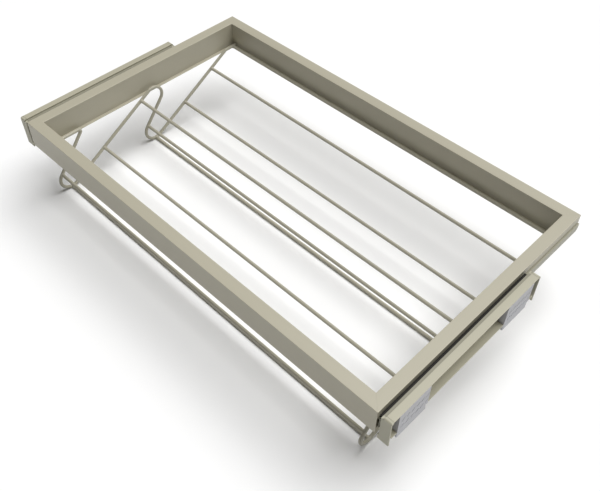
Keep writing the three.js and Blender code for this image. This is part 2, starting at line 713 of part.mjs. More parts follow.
// A channel open to the wardrobe's side, its stepped brim reaching in over the slide.
function coverChannel(name, side) {
  const under = -COVER_TOP - COVER_WALL;
  const inner = COVER_FACE + COVER_WALL;
  const outline = [
    ...brimOutline(),
    [COVER_LIP, under],
    [BRIM_STEP + COVER_WALL, under],
    [BRIM_STEP + COVER_WALL, BRIM_UNDER],
    [inner, BRIM_UNDER],
    [inner, COVER_BOTTOM + COVER_WALL],
    [COVER_LIP, COVER_BOTTOM + COVER_WALL],
    [COVER_LIP, COVER_BOTTOM],
    [COVER_FACE, COVER_BOTTOM],
    [COVER_FACE, BRIM_UNDER],
    [BRIM_EDGE, BRIM_UNDER],
  ];
  const apron = rectangle(
    APRON_INNER - JOINT_GAP,
    COVER_LIP + 1,
    COVER_BOTTOM - 1,
    PAD_BOTTOM,
  );
  const start = CAP_THICKNESS + JOINT_GAP;
  const bar = alongY(onSide(side, outline), start, COVER_LENGTH - start);
  const holes = [
    ...rivetPlaces().map((place) => turned(rivetHole(), side, 1, place)),
    ...padScrewPlaces().map((place) => turned(screwHole(PAD_SCREW_LENGTH), side, 1, place)),
    ...[FRONT_PAD_START, REAR_PAD_START].map((y) =>
      alongY(onSide(side, apron), y - JOINT_GAP, y + PAD_LENGTH + JOINT_GAP)),
  ];
  return piece(name, cut(bar, holes), coverPaint());
}

// An end cap: a plate with a rounded front edge, thick at its top, and a boss that sits
// in the channel.
function capPlate(side, foot) {
  const top = -COVER_TOP;
  const bottom = top - CAP_HEIGHT;
  const heel = foot ? [[BRIM_EDGE - FOOT_REACH, bottom],
    [BRIM_EDGE - FOOT_REACH, bottom + FOOT_HEIGHT],
    [BRIM_EDGE, bottom + FOOT_HEIGHT]] : [[BRIM_EDGE, bottom]];
  const outline = [...brimOutline(), [COVER_LIP, bottom], ...heel];
  const plate = alongY(onSide(side, outline), 0, CAP_THICKNESS);
  const edge = [CAP_EDGE_RADIUS, top - CAP_EDGE_RADIUS];
  const elevation = [
    [CAP_THICKNESS + 1, top],
    ...bend(edge, CAP_EDGE_RADIUS, 90, 180),
    [0, bottom - 1],
    [CAP_THICKNESS + 1, bottom - 1],
  ];
  const x = [side * HALF_WIDTH, side * (HALF_WIDTH + COVER_LIP + 1)];
  const rounded = common(plate, alongX(elevation, Math.min(...x), Math.max(...x)));
  const hollow = alongY(
    onSide(side, rectangle(0, COVER_LIP + 1, bottom - 1, BRIM_UNDER)),
    CAP_PLATE,
    CAP_THICKNESS + 1,
  );
  const bossInner = COVER_FACE + COVER_WALL + JOINT_GAP;
  const boss = alongY(onSide(side, rectangle(
    bossInner,
    bossInner + CAP_BOSS_WIDTH,
    PAD_BOTTOM,
    BRIM_UNDER - JOINT_GAP,
  )), CAP_PLATE - 1, CAP_THICKNESS + CAP_BOSS_LENGTH);
  return shapeOf(solid(cut(rounded, [hollow])).add(solid(boss)));
}

function frontCap(name, side) {
  return piece(name, capPlate(side, true), capPlastic());
}

// The rear cap is the same plate turned round, without the foot.
function rearCap(name, side) {
  const cap = piece(name, capPlate(-side, false), capPlastic());
  cap.rotation.z = Math.PI;
  cap.position.y = COVER_LENGTH;
  return cap;
}

// ---- Wall pads ----
// A slotted block that fills the channel, its face flush with the cover's lips, and an
// apron that hangs below the cover.
function pad(name, side, start) {
  const end = start + PAD_LENGTH;
  const elevation = [
    [start, PAD_TOP],
    [start, APRON_BOTTOM],
    [end - APRON_STEP, APRON_BOTTOM],
    [end - APRON_STEP, COVER_BOTTOM],
    [end, COVER_BOTTOM],
    [end, PAD_TOP],
  ];
  const inner = COVER_FACE + COVER_WALL + JOINT_GAP;
  const span = (u0, u1) => [side * (HALF_WIDTH + u0), side * (HALF_WIDTH + u1)]
    .sort((a, b) => a - b);
  const section = [
    [inner, BRIM_UNDER - JOINT_GAP],
    [BRIM_STEP + COVER_WALL + JOINT_GAP, BRIM_UNDER - JOINT_GAP],
    [BRIM_STEP + COVER_WALL + JOINT_GAP, PAD_TOP],
    [PAD_FACE, PAD_TOP],
    [PAD_FACE, APRON_BOTTOM],
    [APRON_INNER, APRON_BOTTOM],
    [APRON_INNER, PAD_BOTTOM],
    [inner, PAD_BOTTOM],
  ];
  const block = common(
    alongX(elevation, ...span(inner, PAD_FACE)),
    alongY(onSide(side, section), start - 1, end + 1),
  );
  const slots = PAD_SLOT_ROWS.flatMap((drop) => Array.from({ length: PAD_SLOTS }, (_, i) => {
    const y = start + PAD_SLOT_START + PAD_SLOT_PITCH * i;
    return alongX([
      [y, -drop],
      [y + PAD_SLOT_WIDTH, -drop],
      [y + PAD_SLOT_WIDTH + PAD_SLOT_LEAN, PAD_SLOT_RISE - drop],
      [y + PAD_SLOT_LEAN, PAD_SLOT_RISE - drop],
    ], ...span(PAD_FACE - PAD_SLOT_DEPTH, PAD_FACE + 1));
  }));
  const [place] = padScrewPlaces().filter(([, y]) => y > start && y < end);
  const hole = turned(screwHole(PAD_SCREW_LENGTH), side, 1, place);
  return piece(name, cut(block, [...slots, hole]), padPlastic());
}

// ---- Fasteners ----
function screws(name, side, out, length, places) {
  return places.map((place, i) => piece(
    `${name}_${i === 0 ? 'front' : 'rear'}_${side < 0 ? 'left' : 'right'}`,
    turned(screwProfile(length), side, out, place),
    screwSteel(),
  ));
}

function rivets(side) {
  return rivetPlaces().map((place, i) => piece(
    `rivet_${i === 0 ? 'front' : 'rear'}_${side < 0 ? 'left' : 'right'}`,
    turned(rivetProfile(), side, 1, place),
    screwSteel(),
  ));
}

// ---- Assembly ----
// What is fixed to the wardrobe on one side.
function fixedSide(side) {
  const hand = side < 0 ? 'left' : 'right';
  return assembly(`wardrobe_${hand}`, [
    coverChannel(`cover_${hand}`, side),
    frontCap(`cap_front_${hand}`, side),
    rearCap(`cap_rear_${hand}`, side),
    fixedMember(`slide_fixed_${hand}`, side),
    slideStop(`stop_${hand}`, side),
    pad(`pad_front_${hand}`, side, FRONT_PAD_START),
    pad(`pad_rear_${hand}`, side, REAR_PAD_START),
    ...screws('pad_screw', side, 1, PAD_SCREW_LENGTH, padScrewPlaces()),
    ...rivets(side),
  ]);
}

// What runs between the fixed and the drawer members on one side.
function runningSide(side) {
  const hand = side < 0 ? 'left' : 'right';
  return assembly(`slide_${hand}`, [
    outerCage(`cage_outer_${hand}`, side),
    middleMember(`slide_middle_${hand}`, side),
    innerCage(`cage_inner_${hand}`, side),
  ]);
}

// What pulls out.
function pullOut() {
  return assembly('pull_out', [
    ...frameRails(),
    ...cornerBrackets(),
    drawerMember('slide_drawer_left', -1),
    drawerMember('slide_drawer_right', 1),
    ...screws('slide_screw', -1, -1, DRAWER_SCREW_LENGTH, drawerScrewPlaces()),
    ...screws('slide_screw', 1, -1, DRAWER_SCREW_LENGTH, drawerScrewPlaces()),
    ...wireShelf(),
  ]);
}

const group = assembly('shoe_rack', [
  fixedSide(-1),
  fixedSide(1),
  runningSide(-1),
  runningSide(1),
  pullOut(),
]);
group.position.set(0, -FRAME_DEPTH / 2, TOTAL_HEIGHT / 2);

export default group;
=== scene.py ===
"""Looks of a pull-out wardrobe shoe rack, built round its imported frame.

Stone-grey powder-coated profile frame with mitred corners, a two-tier wire shelf, ball
slides under covers, and slotted grey wall pads. Everything is in metres, +Z up, and the
rack pulls out along -Y.
"""

import logging
import math
from dataclasses import dataclass, field
from enum import Enum
from typing import Any, Optional, Sequence

import bmesh
import bpy
from bmesh.types import BMEdge, BMesh, BMFace, BMVert
from bpy.types import Material, Node, NodeSocket, NodeTree, Object
from mathutils import Matrix, Vector


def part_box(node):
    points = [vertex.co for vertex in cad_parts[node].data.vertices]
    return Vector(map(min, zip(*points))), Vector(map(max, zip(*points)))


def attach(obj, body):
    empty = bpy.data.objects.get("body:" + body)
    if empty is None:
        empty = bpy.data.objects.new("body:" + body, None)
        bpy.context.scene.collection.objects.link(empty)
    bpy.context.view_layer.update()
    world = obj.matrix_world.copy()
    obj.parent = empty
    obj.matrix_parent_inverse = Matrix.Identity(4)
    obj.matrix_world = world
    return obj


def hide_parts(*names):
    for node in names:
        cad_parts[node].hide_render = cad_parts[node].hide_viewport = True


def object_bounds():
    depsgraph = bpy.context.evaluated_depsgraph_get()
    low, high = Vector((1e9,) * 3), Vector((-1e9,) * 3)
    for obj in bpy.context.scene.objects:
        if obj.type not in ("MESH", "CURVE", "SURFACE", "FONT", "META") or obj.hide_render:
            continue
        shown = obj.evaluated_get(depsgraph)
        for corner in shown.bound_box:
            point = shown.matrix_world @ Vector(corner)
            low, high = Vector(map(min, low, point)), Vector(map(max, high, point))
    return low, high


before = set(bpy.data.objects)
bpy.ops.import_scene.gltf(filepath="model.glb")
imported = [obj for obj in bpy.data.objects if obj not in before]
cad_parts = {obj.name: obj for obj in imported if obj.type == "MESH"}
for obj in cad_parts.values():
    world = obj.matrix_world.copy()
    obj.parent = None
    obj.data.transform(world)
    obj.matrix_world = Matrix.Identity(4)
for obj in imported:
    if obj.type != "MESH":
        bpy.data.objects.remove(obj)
CAD_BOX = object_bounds()

MM = 0.001
NEAR = 1e-6     # metres within which two places are the same
WELD = 3e-5     # metres within which the points of a cut are one
Point = tuple[float, float]
Outline = Sequence[Point]
LOG = logging.getLogger("shoe_rack")


class Hand(Enum):
    """Which side of the rack a piece is on, with the sign of its X."""

    LEFT = -1
    RIGHT = 1

    @property
    def word(self) -> str:
        """The side as it stands in node names."""
        return self.name.lower()


class End(Enum):
    """Which end of the rack a piece is at, with the sign of its Y."""

    FRONT = -1
    REAR = 1

    @property
    def word(self) -> str:
        """The end as it stands in node names."""
        return self.name.lower()


class Axis(Enum):
    """The direction a bar runs in, as the matrix that takes (a, b, run) to (x, y, z)."""

    X = ((0, 0, 1), (1, 0, 0), (0, 1, 0))
    Y = ((1, 0, 0), (0, 0, 1), (0, 1, 0))

    @property
    def matrix(self) -> Matrix:
        """The matrix of this direction."""
        return Matrix(self.value).to_4x4()


# ---- finishes ----


def linear(colour: str) -> tuple[float, ...]:
    """Turns an sRGB hex colour into the linear red, green and blue that shaders use."""
    parts = [int(colour[i:i + 2], 16) / 255 for i in (0, 2, 4)]
    return tuple(c / 12.92 if c <= 0.04045 else ((c + 0.055) / 1.055) ** 2.4
                 for c in parts)


def add_node(tree: NodeTree, kind: str, inputs: Optional[dict[Any, Any]] = None,
             **settings: Any) -> Node:
    """Adds a node with its settings and links.

    Args:
        tree: The material's node tree.
        kind: Blender's name of the node type.
        inputs: Socket name or number, with a value or another node's output for it.
        **settings: The node's own settings.

    Returns:
        The node.
    """
    node = tree.nodes.new(kind)
    for name, value in settings.items():
        setattr(node, name, value)
    for key, value in (inputs or {}).items():
        if isinstance(value, NodeSocket):
            tree.links.new(value, node.inputs[key])
        else:
            node.inputs[key].default_value = value
    return node


@dataclass(frozen=True)
class Finish:
    """What every finish of the rack shares: a surface colour, its gloss and its relief."""

    name: str
    colour: str
    roughness: float
    metallic: float = 0.0
    drift: float = 0.03         # how far the colour wanders, as a share
    drift_size: float = 90.0    # mm between lighter and darker areas
    relief_size: float = 2.2    # mm from bump to bump
    relief_depth: float = 0.05  # mm
    edge_tint: float = 1.12     # colour on worn or thin edges, against the rest
    edge_roughness: float = -0.06
    gloss_drift: float = 0.03   # how far the roughness wanders over the relief

    def scale(self, size: float) -> float:
        """The Noise scale whose features are about so many millimetres across."""
        return 1 / (size * MM)

    def coordinates(self, tree: NodeTree) -> NodeSocket:
        """Where a pattern is read: the piece's own coordinates, in metres."""
        return add_node(tree, "ShaderNodeTexCoord").outputs["Object"]

    def noise(self, tree: NodeTree, where: NodeSocket, size: float,
              detail: float = 2.0) -> NodeSocket:
        """Noise with features of a real size.

        Args:
            tree: The material's node tree.
            where: The coordinates it is read at.
            size: Feature size in mm.
            detail: Octaves of finer noise.

        Returns:
            The noise value, about 0 to 1.
        """
        return add_node(tree, "ShaderNodeTexNoise", {
            "Vector": where, "Scale": self.scale(size), "Detail": detail,
        }).outputs["Fac"]

    def ramp(self, tree: NodeTree, value: NodeSocket, low: float, high: float) -> NodeSocket:
        """Maps a 0 to 1 value to a range."""
        return add_node(tree, "ShaderNodeMapRange", {
            "Value": value, "To Min": low, "To Max": high,
        }).outputs["Result"]

    def relief(self, tree: NodeTree, where: NodeSocket) -> NodeSocket:
        """The height pattern of the surface, 0 to 1."""
        return self.noise(tree, where, self.relief_size)

    def tone(self, tree: NodeTree, where: NodeSocket) -> NodeSocket:
        """The share of light and dark in the colour, about 1."""
        slow = self.noise(tree, where, self.drift_size)
        return self.ramp(tree, slow, 1 - self.drift, 1 + self.drift)

    def material(self) -> Material:
        """The finish as a material, made once and shared by the pieces that have it."""
        made = bpy.data.materials.get(self.name)
        if made:
            return made
        made = bpy.data.materials.new(self.name)
        made.use_nodes = True
        tree = made.node_tree
        tree.nodes.clear()
        where = self.coordinates(tree)
        edge = add_node(tree, "ShaderNodeAttribute", attribute_name="edge").outputs["Fac"]
        at_edge = self.ramp(tree, edge, 1.0, self.edge_tint)
        share = add_node(tree, "ShaderNodeMath", {0: self.tone(tree, where), 1: at_edge},
                         operation="MULTIPLY").outputs[0]
        colour = add_node(tree, "ShaderNodeVectorMath", {
            0: linear(self.colour), 3: share,
        }, operation="SCALE").outputs["Vector"]
        height = self.relief(tree, where)
        rough = self.ramp(tree, height, self.roughness + self.gloss_drift,
                          self.roughness - self.gloss_drift)
        rough_edge = self.ramp(tree, edge, 0.0, self.edge_roughness)
        roughness = add_node(tree, "ShaderNodeMath", {0: rough, 1: rough_edge},
                             operation="ADD").outputs[0]
        bump = add_node(tree, "ShaderNodeBump", {
            "Height": height, "Strength": 1.0, "Distance": self.relief_depth * MM,
        }).outputs["Normal"]
        shader = add_node(tree, "ShaderNodeBsdfPrincipled", {
            "Base Color": colour, "Roughness": roughness, "Metallic": self.metallic,
            "Normal": bump,
        })
        add_node(tree, "ShaderNodeOutputMaterial", {"Surface": shader.outputs["BSDF"]})
        return made


@dataclass(frozen=True)
class PowderCoat(Finish):
    """Polyester powder coat: a satin skin with a slight orange peel, thin on sharp edges."""

    grain_share: float = 0.3

    def relief(self, tree: NodeTree, where: NodeSocket) -> NodeSocket:
        """Orange peel about 2 mm across under a finer grain of powder."""
        peel = self.noise(tree, where, self.relief_size, 1.0)
        grain = self.noise(tree, where, self.relief_size / 4, 2.0)
        return add_node(tree, "ShaderNodeMix", {
            "Factor": self.grain_share, 2: peel, 3: grain,
        }).outputs[0]


@dataclass(frozen=True)
class MouldedPlastic(Finish):
    """Injection-moulded plastic with a spark-eroded grain and a soft sheen."""

    def relief(self, tree: NodeTree, where: NodeSocket) -> NodeSocket:
        """Pits of the mould's spark grain, which are rounder than noise."""
        cells = add_node(tree, "ShaderNodeTexVoronoi", {
            "Vector": where, "Scale": self.scale(self.relief_size),
        }, feature="SMOOTH_F1").outputs["Distance"]
        return self.ramp(tree, cells, 0.0, 1.0)


@dataclass(frozen=True)
class ZincPlate(Finish):
    """Zinc-plated rolled steel: fine rolling lines along the run, a cloudy blue-grey gloss."""

    lines: tuple[float, float, float] = (1.0, 0.04, 1.0)

    def relief(self, tree: NodeTree, where: NodeSocket) -> NodeSocket:
        """Lines drawn out along the rolling direction."""
        drawn = add_node(tree, "ShaderNodeMapping", {"Vector": where, "Scale": self.lines})
        return self.noise(tree, drawn.outputs["Vector"], self.relief_size, 3.0)


@dataclass(frozen=True)
class MouldedRubber(Finish):
    """Moulded rubber: matt, nearly black, with no shine at its edges."""


# The frame's and covers' coat: warm stone grey, satin, with a soft highlight on tops.
FRAME_COAT = PowderCoat("stone_grey_frame_coat", "B0AB98", 0.42)
# The wire's coat is built up thicker, so it is a little glossier and smoother.
WIRE_COAT = PowderCoat("stone_grey_wire_coat", "A8A493", 0.36, relief_size=3.0)
# The covers are rolled sheet: the same coat with a finer peel.
COVER_COAT = PowderCoat("stone_grey_cover_coat", "B0AC98", 0.42, relief_size=1.6)
# Painted shade: the covers' lower inner ledge and upright get a darker, slightly rougher copy
# of the coat, standing for the shade in the step beside the frame, which sets the slide off
# from the top.
BRIM_PAINTED_SHADE = PowderCoat("stone_grey_brim_painted_shade", "8A8776", 0.46, relief_size=1.6)
# The caps are moulded in a matching colour and look flatter and duller than the metal.
CAP_PLASTIC = MouldedPlastic("matching_cap_plastic", "ABA895", 0.52, relief_size=1.2)
# The pads are plain grey nylon, cooler than the coat, with a dry surface.
PAD_NYLON = MouldedPlastic("grey_pad_nylon", "AFAFB3", 0.5, relief_size=1.0, drift=0.05,
                           edge_tint=1.2)
# Fixed and middle members: zinc-plated metal given a near-black, smoky colour as painted shade,
# which keeps the gap between frame and cover dark.
SLIDE_PAINTED_SHADE = ZincPlate("near_black_slide_painted_shade", "2A2927", 0.5, 1.0, relief_size=1.5,
                       relief_depth=0.01)
# The drawer members are coated like the frame that they lie against, on rolled steel.
DRAWER_COAT = PowderCoat("stone_grey_member_coat", "9C9986", 0.42, relief_size=1.6)
# Ball cages are thin pressed strip, darker from the stamping oil.
CAGE_STEEL = ZincPlate("pressed_cage_steel", "8F9093", 0.38, 1.0, relief_size=1.2,
                       relief_depth=0.01)
# Balls are polished hard steel.
BALL_STEEL = ZincPlate("polished_ball_steel", "D2D2D4", 0.12, 1.0, relief_size=4.0,
                       relief_depth=0.002, lines=(1.0, 1.0, 1.0))
# Screws and rivets are turned and zinc plated, with fine rings.
SCREW_ZINC = ZincPlate("zinc_screw_steel", "BFC0C3", 0.28, 1.0, relief_size=0.8,
                       relief_depth=0.01, lines=(1.0, 1.0, 1.0))
# Corner brackets are die cast and left as they come out of the mould.
BRACKET_CAST = MouldedPlastic("as_cast_bracket", "9C9EA1", 0.5, 0.8, relief_size=1.8)
# Stops are black rubber.
STOP_RUBBER = MouldedRubber("black_stop_rubber", "232323", 0.85, edge_tint=1.0,
                            edge_roughness=0.0)
# The floor is a seamless sheet of white studio paper.
FLOOR_PAPER = Finish("white_studio_paper", "F6F6F6", 0.9, drift=0.0, relief_size=4.0,
                     relief_depth=0.01, edge_tint=1.0, edge_roughness=0.0)


# ---- mesh work ----


def new_bmesh() -> BMesh:
    """An empty bmesh that carries the edge mark on its face corners."""
    bm = bmesh.new()
    bm.loops.layers.float.new("edge")
    return bm


def face_outwards(bm: BMesh) -> None:
    """Points every face of a closed mesh outwards."""
    bmesh.ops.recalc_face_normals(bm, faces=bm.faces)


def mark_edges(bm: BMesh, faces: Sequence[BMFace]) -> None:
    """Marks faces as edge, where the finish is thinner or rubbed."""
    layer = bm.loops.layers.float["edge"]
    for face in faces:
        for corner in face.loops:
            corner[layer] = 1.0


def round_edges(bm: BMesh, edges: Sequence[BMEdge], radius: float,
                segments: int = 3) -> None:
    """Rounds edges and marks the new faces.

    Args:
        bm: The mesh.
        edges: The edges to round.
        radius: In metres.
        segments: Facets round each edge.
    """
    if not edges or radius <= 0:
        return
    made = bmesh.ops.bevel(bm, geom=list(edges), offset=radius, offset_type="OFFSET",
                           affect="EDGES", segments=segments, profile=0.5, material=-1,
                           clamp_overlap=True)
    mark_edges(bm, made["faces"])


def bar(outline: Outline, axis: Axis, start: float, end: float, radius: float,
        segments: int = 3) -> BMesh:
    """A bar of one section with its long edges rounded.

    Args:
        outline: Corners of the section, (y, z) for a run along X or (x, z) along Y.
        axis: The direction it runs in.
        start: Where it starts along that axis.
        end: Where it ends.
        radius: Of the long edges, in metres.
        segments: Facets round each long edge.

    Returns:
        The bar as a bmesh.
    """
    bm = new_bmesh()
    section = bm.faces.new([bm.verts.new((a, b, start)) for a, b in outline])
    run = bmesh.ops.extrude_face_region(bm, geom=[section])
    moved = [v for v in run["geom"] if isinstance(v, BMVert)]
    bmesh.ops.translate(bm, verts=moved, vec=(0, 0, end - start))
    face_outwards(bm)
    long_edges = [e for e in bm.edges if abs(e.verts[0].co.z - e.verts[1].co.z) > NEAR]
    round_edges(bm, long_edges, radius, segments)
    bmesh.ops.transform(bm, matrix=axis.matrix, verts=bm.verts)
    face_outwards(bm)
    return bm


def lathe(profile: Outline, place: Vector, direction: Vector, steps: int) -> BMesh:
    """A turned shape.

    Args:
        profile: (radius, distance along the axis) from axis to axis.
        place: Where distance 0 stands.
        direction: The way the distance grows.
        steps: Facets round the axis.

    Returns:
        The closed shape as a bmesh.
    """
    bm = new_bmesh()
    verts = [bm.verts.new((radius, 0, at)) for radius, at in profile]
    edges = [bm.edges.new(pair) for pair in zip(verts, verts[1:])]
    bmesh.ops.spin(bm, geom=verts + edges, cent=(0, 0, 0), axis=(0, 0, 1), dvec=(0, 0, 0),
                   angle=2 * math.pi, steps=steps, use_merge=True, use_duplicate=False)
    bmesh.ops.remove_doubles(bm, verts=bm.verts, dist=NEAR / 10)
    turn = direction.to_track_quat("Z", "Y").to_matrix().to_4x4()
    bmesh.ops.transform(bm, matrix=Matrix.Translation(place) @ turn, verts=bm.verts)
    face_outwards(bm)
    return bm


def cut_end(bm: BMesh, point: Vector, normal: Vector) -> None:
    """Saws off what lies past a plane and closes the cut.

    Args:
        bm: The mesh.
        point: A point on the plane.
        normal: The side that is removed.
    """
    geometry = list(bm.verts) + list(bm.edges) + list(bm.faces)
    made = bmesh.ops.bisect_plane(bm, geom=geometry, plane_co=point, plane_no=normal,
                                  clear_outer=True)
    rim = [g for g in made["geom_cut"] if isinstance(g, BMEdge)]
    bmesh.ops.edgeloop_fill(bm, edges=rim)


def arc(centre: Point, radius: float, start: float, end: float, steps: int) -> list[Point]:
    """Points round part of a circle, with the angles in degrees."""
    angles = [math.radians(start + (end - start) * i / steps) for i in range(steps + 1)]
    return [(centre[0] + radius * math.cos(t), centre[1] + radius * math.sin(t))
            for t in angles]


def rectangle(a0: float, a1: float, b0: float, b1: float) -> list[Point]:
    """Corners of a rectangle."""
    return [(a0, b0), (a1, b0), (a1, b1), (a0, b1)]


def joined(parts: Sequence[BMesh]) -> BMesh:
    """Puts several meshes into one and frees them.

    Args:
        parts: The meshes, closed shells each.

    Returns:
        One mesh that holds them all.
    """
    bm = new_bmesh()
    for part in parts:
        mesh = bpy.data.meshes.new("part")
        part.to_mesh(mesh)
        part.free()
        bm.from_mesh(mesh)
        bpy.data.meshes.remove(mesh)
    return bm


def loose_object(name: str, bm: BMesh) -> Object:
    """An object for a mesh, in the scene, with the mesh freed."""
    mesh = bpy.data.meshes.new(name)
    bm.to_mesh(mesh)
    bm.free()
    made = bpy.data.objects.new(name, mesh)
    bpy.context.scene.collection.objects.link(made)
    return made


def carve(piece: Object, tools: Sequence[BMesh],
          operation: str = "DIFFERENCE") -> None:
    """Cuts tools out of a piece, or joins them to it, and leaves the result as its mesh.

    Args:
        piece: What is cut.
        tools: Closed meshes clear of each other, freed afterwards.
        operation: Blender's name of the Boolean.
    """
    cutter = loose_object(f"{piece.name}_tool", joined(tools))
    made = piece.modifiers.new("carve", "BOOLEAN")
    made.object = cutter
    made.operation = operation
    made.solver = "EXACT"
    bpy.context.view_layer.update()
    graph = bpy.context.evaluated_depsgraph_get()
    mesh = bpy.data.meshes.new_from_object(piece.evaluated_get(graph))
    piece.modifiers.clear()
    if mesh.polygons:
        piece.data = mesh
        clean = new_bmesh()
        clean.from_mesh(mesh)
        bmesh.ops.remove_doubles(clean, verts=clean.verts, dist=WELD)
        bmesh.ops.dissolve_degenerate(clean, edges=clean.edges, dist=WELD)
        clean.to_mesh(mesh)
        clean.free()
    else:
        LOG.warning("%s: left whole, because the cut came out empty", piece.name)
    bpy.data.objects.remove(cutter)


@dataclass(frozen=True)
class Dressing:
    """How a finished piece is dressed and what it stands for."""

    finish: Finish
    slot: str
    body: str
    crease: float = 40.0    # degrees past which an edge stays sharp

    def wear(self, piece: Object, *nodes: str) -> Object:
        """Shades a piece, gives it its finish, and lets it ride on its body.

        Args:
            piece: The finished piece.
            *nodes: CAD nodes that it stands for.

        Returns:
            The same piece.
        """
        piece.data.materials.clear()
        piece.data.materials.append(self.finish.material())
        piece.data.shade_smooth()
        piece.data.set_sharp_from_angle(angle=math.radians(self.crease))
        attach(piece, self.body)
        if nodes:
            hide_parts(*nodes)
        LOG.info("%s: %d faces, rides on %s", piece.name, len(piece.data.polygons), self.body)
        return piece


def flat_shaded(piece: Object) -> None:
    """Keeps big faces flat beside rounded edges."""
    weigh = piece.modifiers.new("even_faces", "WEIGHTED_NORMAL")
    weigh.keep_sharp = True
    weigh.weight = 100


def across(node: str, hand: Hand) -> Point:
    """X of a CAD node's face towards the rack, and of the one away from it."""
    low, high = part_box(node)
    return (low.x, high.x) if hand is Hand.RIGHT else (high.x, low.x)


def channel_outline(lip: float, out: float, low: float, high: float, web: float,
                    flange: float) -> list[Point]:
    """Section of a channel as (x, z).

    Args:
        lip: X of the flanges' tips.
        out: X of the web's back.
        low: Its lowest level.
        high: Its highest level.
        web: Thickness of the web.
        flange: Thickness of the flanges.

    Returns:
        The corners.
    """
    inner = out - math.copysign(web, out - lip)
    return [(lip, high), (out, high), (out, low), (lip, low), (lip, low + flange),
            (inner, low + flange), (inner, high - flange), (lip, high - flange)]


# ---- frame ----


@dataclass
class ProfileFrame:
    """The mitred frame: four profile rails with an inner ledge, and hidden brackets."""

    rail_width: float = 20 * MM
    ledge_width: float = 5 * MM
    ledge_thickness: float = 2 * MM
    ledge_drop: float = 46 * MM
    rebate_depth: float = 4 * MM
    rebate_drop: float = 40 * MM
    groove_depth: float = 3 * MM
    groove_drop: float = 16 * MM
    groove_height: float = 22 * MM
    edge_radius: float = 0.8 * MM
    mitre_gap: float = 0.05 * MM
    notch_gap: float = 0.3 * MM
    body: str = "pull_out"
    half_width: float = field(init=False)
    front: float = field(init=False)
    back: float = field(init=False)
    top: float = field(init=False)
    height: float = field(init=False)

    def __post_init__(self) -> None:
        """Reads the places that the CAD nodes give."""
        low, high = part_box("rail_front")
        self.half_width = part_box("rail_right")[1].x
        self.front = low.y
        self.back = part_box("rail_rear")[1].y
        self.top = high.z
        self.height = high.z - low.z

    def section(self, grooved: bool) -> list[Point]:
        """Outline of a rail as (distance in, height), with the slide groove or without."""
        inner = self.rail_width + self.ledge_width
        ledge = -self.ledge_drop
        points = [(0.0, 0.0)]
        if grooved:
            groove = -self.groove_drop
            floor = groove - self.groove_height
            points += [(0.0, groove), (self.groove_depth, groove), (self.groove_depth, floor),
                       (0.0, floor), (0.0, -self.rebate_drop),
                       (self.rebate_depth, -self.rebate_drop),
                       (self.rebate_depth, -self.height)]
        else:
            points += [(0.0, -self.height)]
        points += [(self.rail_width, -self.height),
                   (self.rail_width, ledge - self.ledge_thickness),
                   (inner, ledge - self.ledge_thickness), (inner, ledge),
                   (self.rail_width, ledge), (self.rail_width, 0.0)]
        return points

    def rail(self, length: float, grooved: bool) -> BMesh:
        """A rail along X, its outer face at y = 0 and its top at z = 0, mitred at both ends."""
        half = length / 2
        bm = bar(self.section(grooved), Axis.X, -half, half, self.edge_radius)
        for end in (-1, 1):
            cut_end(bm, Vector((end * (half - self.mitre_gap), 0, 0)), Vector((end, 1, 0)))
        face_outwards(bm)
        return bm

    def place(self, bm: BMesh, turn: float, x: float, y: float) -> BMesh:
        """Turns a rail about Z and sets it in its side of the frame."""
        spot = Matrix.Translation((x, y, self.top)) @ Matrix.Rotation(turn, 4, "Z")
        bmesh.ops.transform(bm, matrix=spot, verts=bm.verts)
        return bm

    def end_notches(self) -> list[BMesh]:
        """Tools for the rear rail's ends: the drawer members' way and the rebate."""
        reach = self.groove_depth + self.notch_gap
        groove = self.top - self.groove_drop
        over = 1 * MM
        cuts = [(reach, groove - self.groove_height, groove, reach),
                (self.rebate_depth, self.top - self.height - over,
                 self.top - self.rebate_drop, self.rail_width)]
        tools = []
        for hand in Hand:
            for depth, bottom, top, run in cuts:
                inner = hand.value * (self.half_width - depth)
                outer = hand.value * (self.half_width + over)
                outline = rectangle(min(inner, outer), max(inner, outer), bottom, top)
                tools.append(bar(outline, Axis.Y, self.back - run, self.back + over, 0))
        return tools

    def build(self) -> None:
        """Makes the four rails and dresses the brackets inside them."""
        dress = Dressing(FRAME_COAT, "frame_paint", self.body)
        width = 2 * self.half_width
        depth = self.back - self.front
        middle = (self.front + self.back) / 2
        front = self.place(self.rail(width, False), 0, 0, self.front)
        rear = self.place(self.rail(width, False), math.pi, 0, self.back)
        pieces = [("rail_front", front), ("rail_rear", rear)]
        for hand in Hand:
            side = self.place(self.rail(depth, True), hand.value * math.pi / 2,
                              hand.value * self.half_width, middle)
            pieces.append((f"rail_{hand.word}", side))
        for node, bm in pieces:
            piece = loose_object(f"{node}_profile", bm)
            if node == "rail_rear":
                carve(piece, self.end_notches())
            dress.wear(piece, node)
            flat_shaded(piece)
        for end in End:
            for hand in Hand:
                coat_node(f"bracket_{end.word}_{hand.word}", BRACKET_CAST)


def coat_node(node: str, finish: Finish) -> None:
    """Gives a CAD node that is shown as it is its finish."""
    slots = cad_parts[node].data.materials
    slots.clear()
    slots.append(finish.material())
    LOG.info("%s: shown as it is, in %s", node, finish.name)


# ---- wire shelf ----


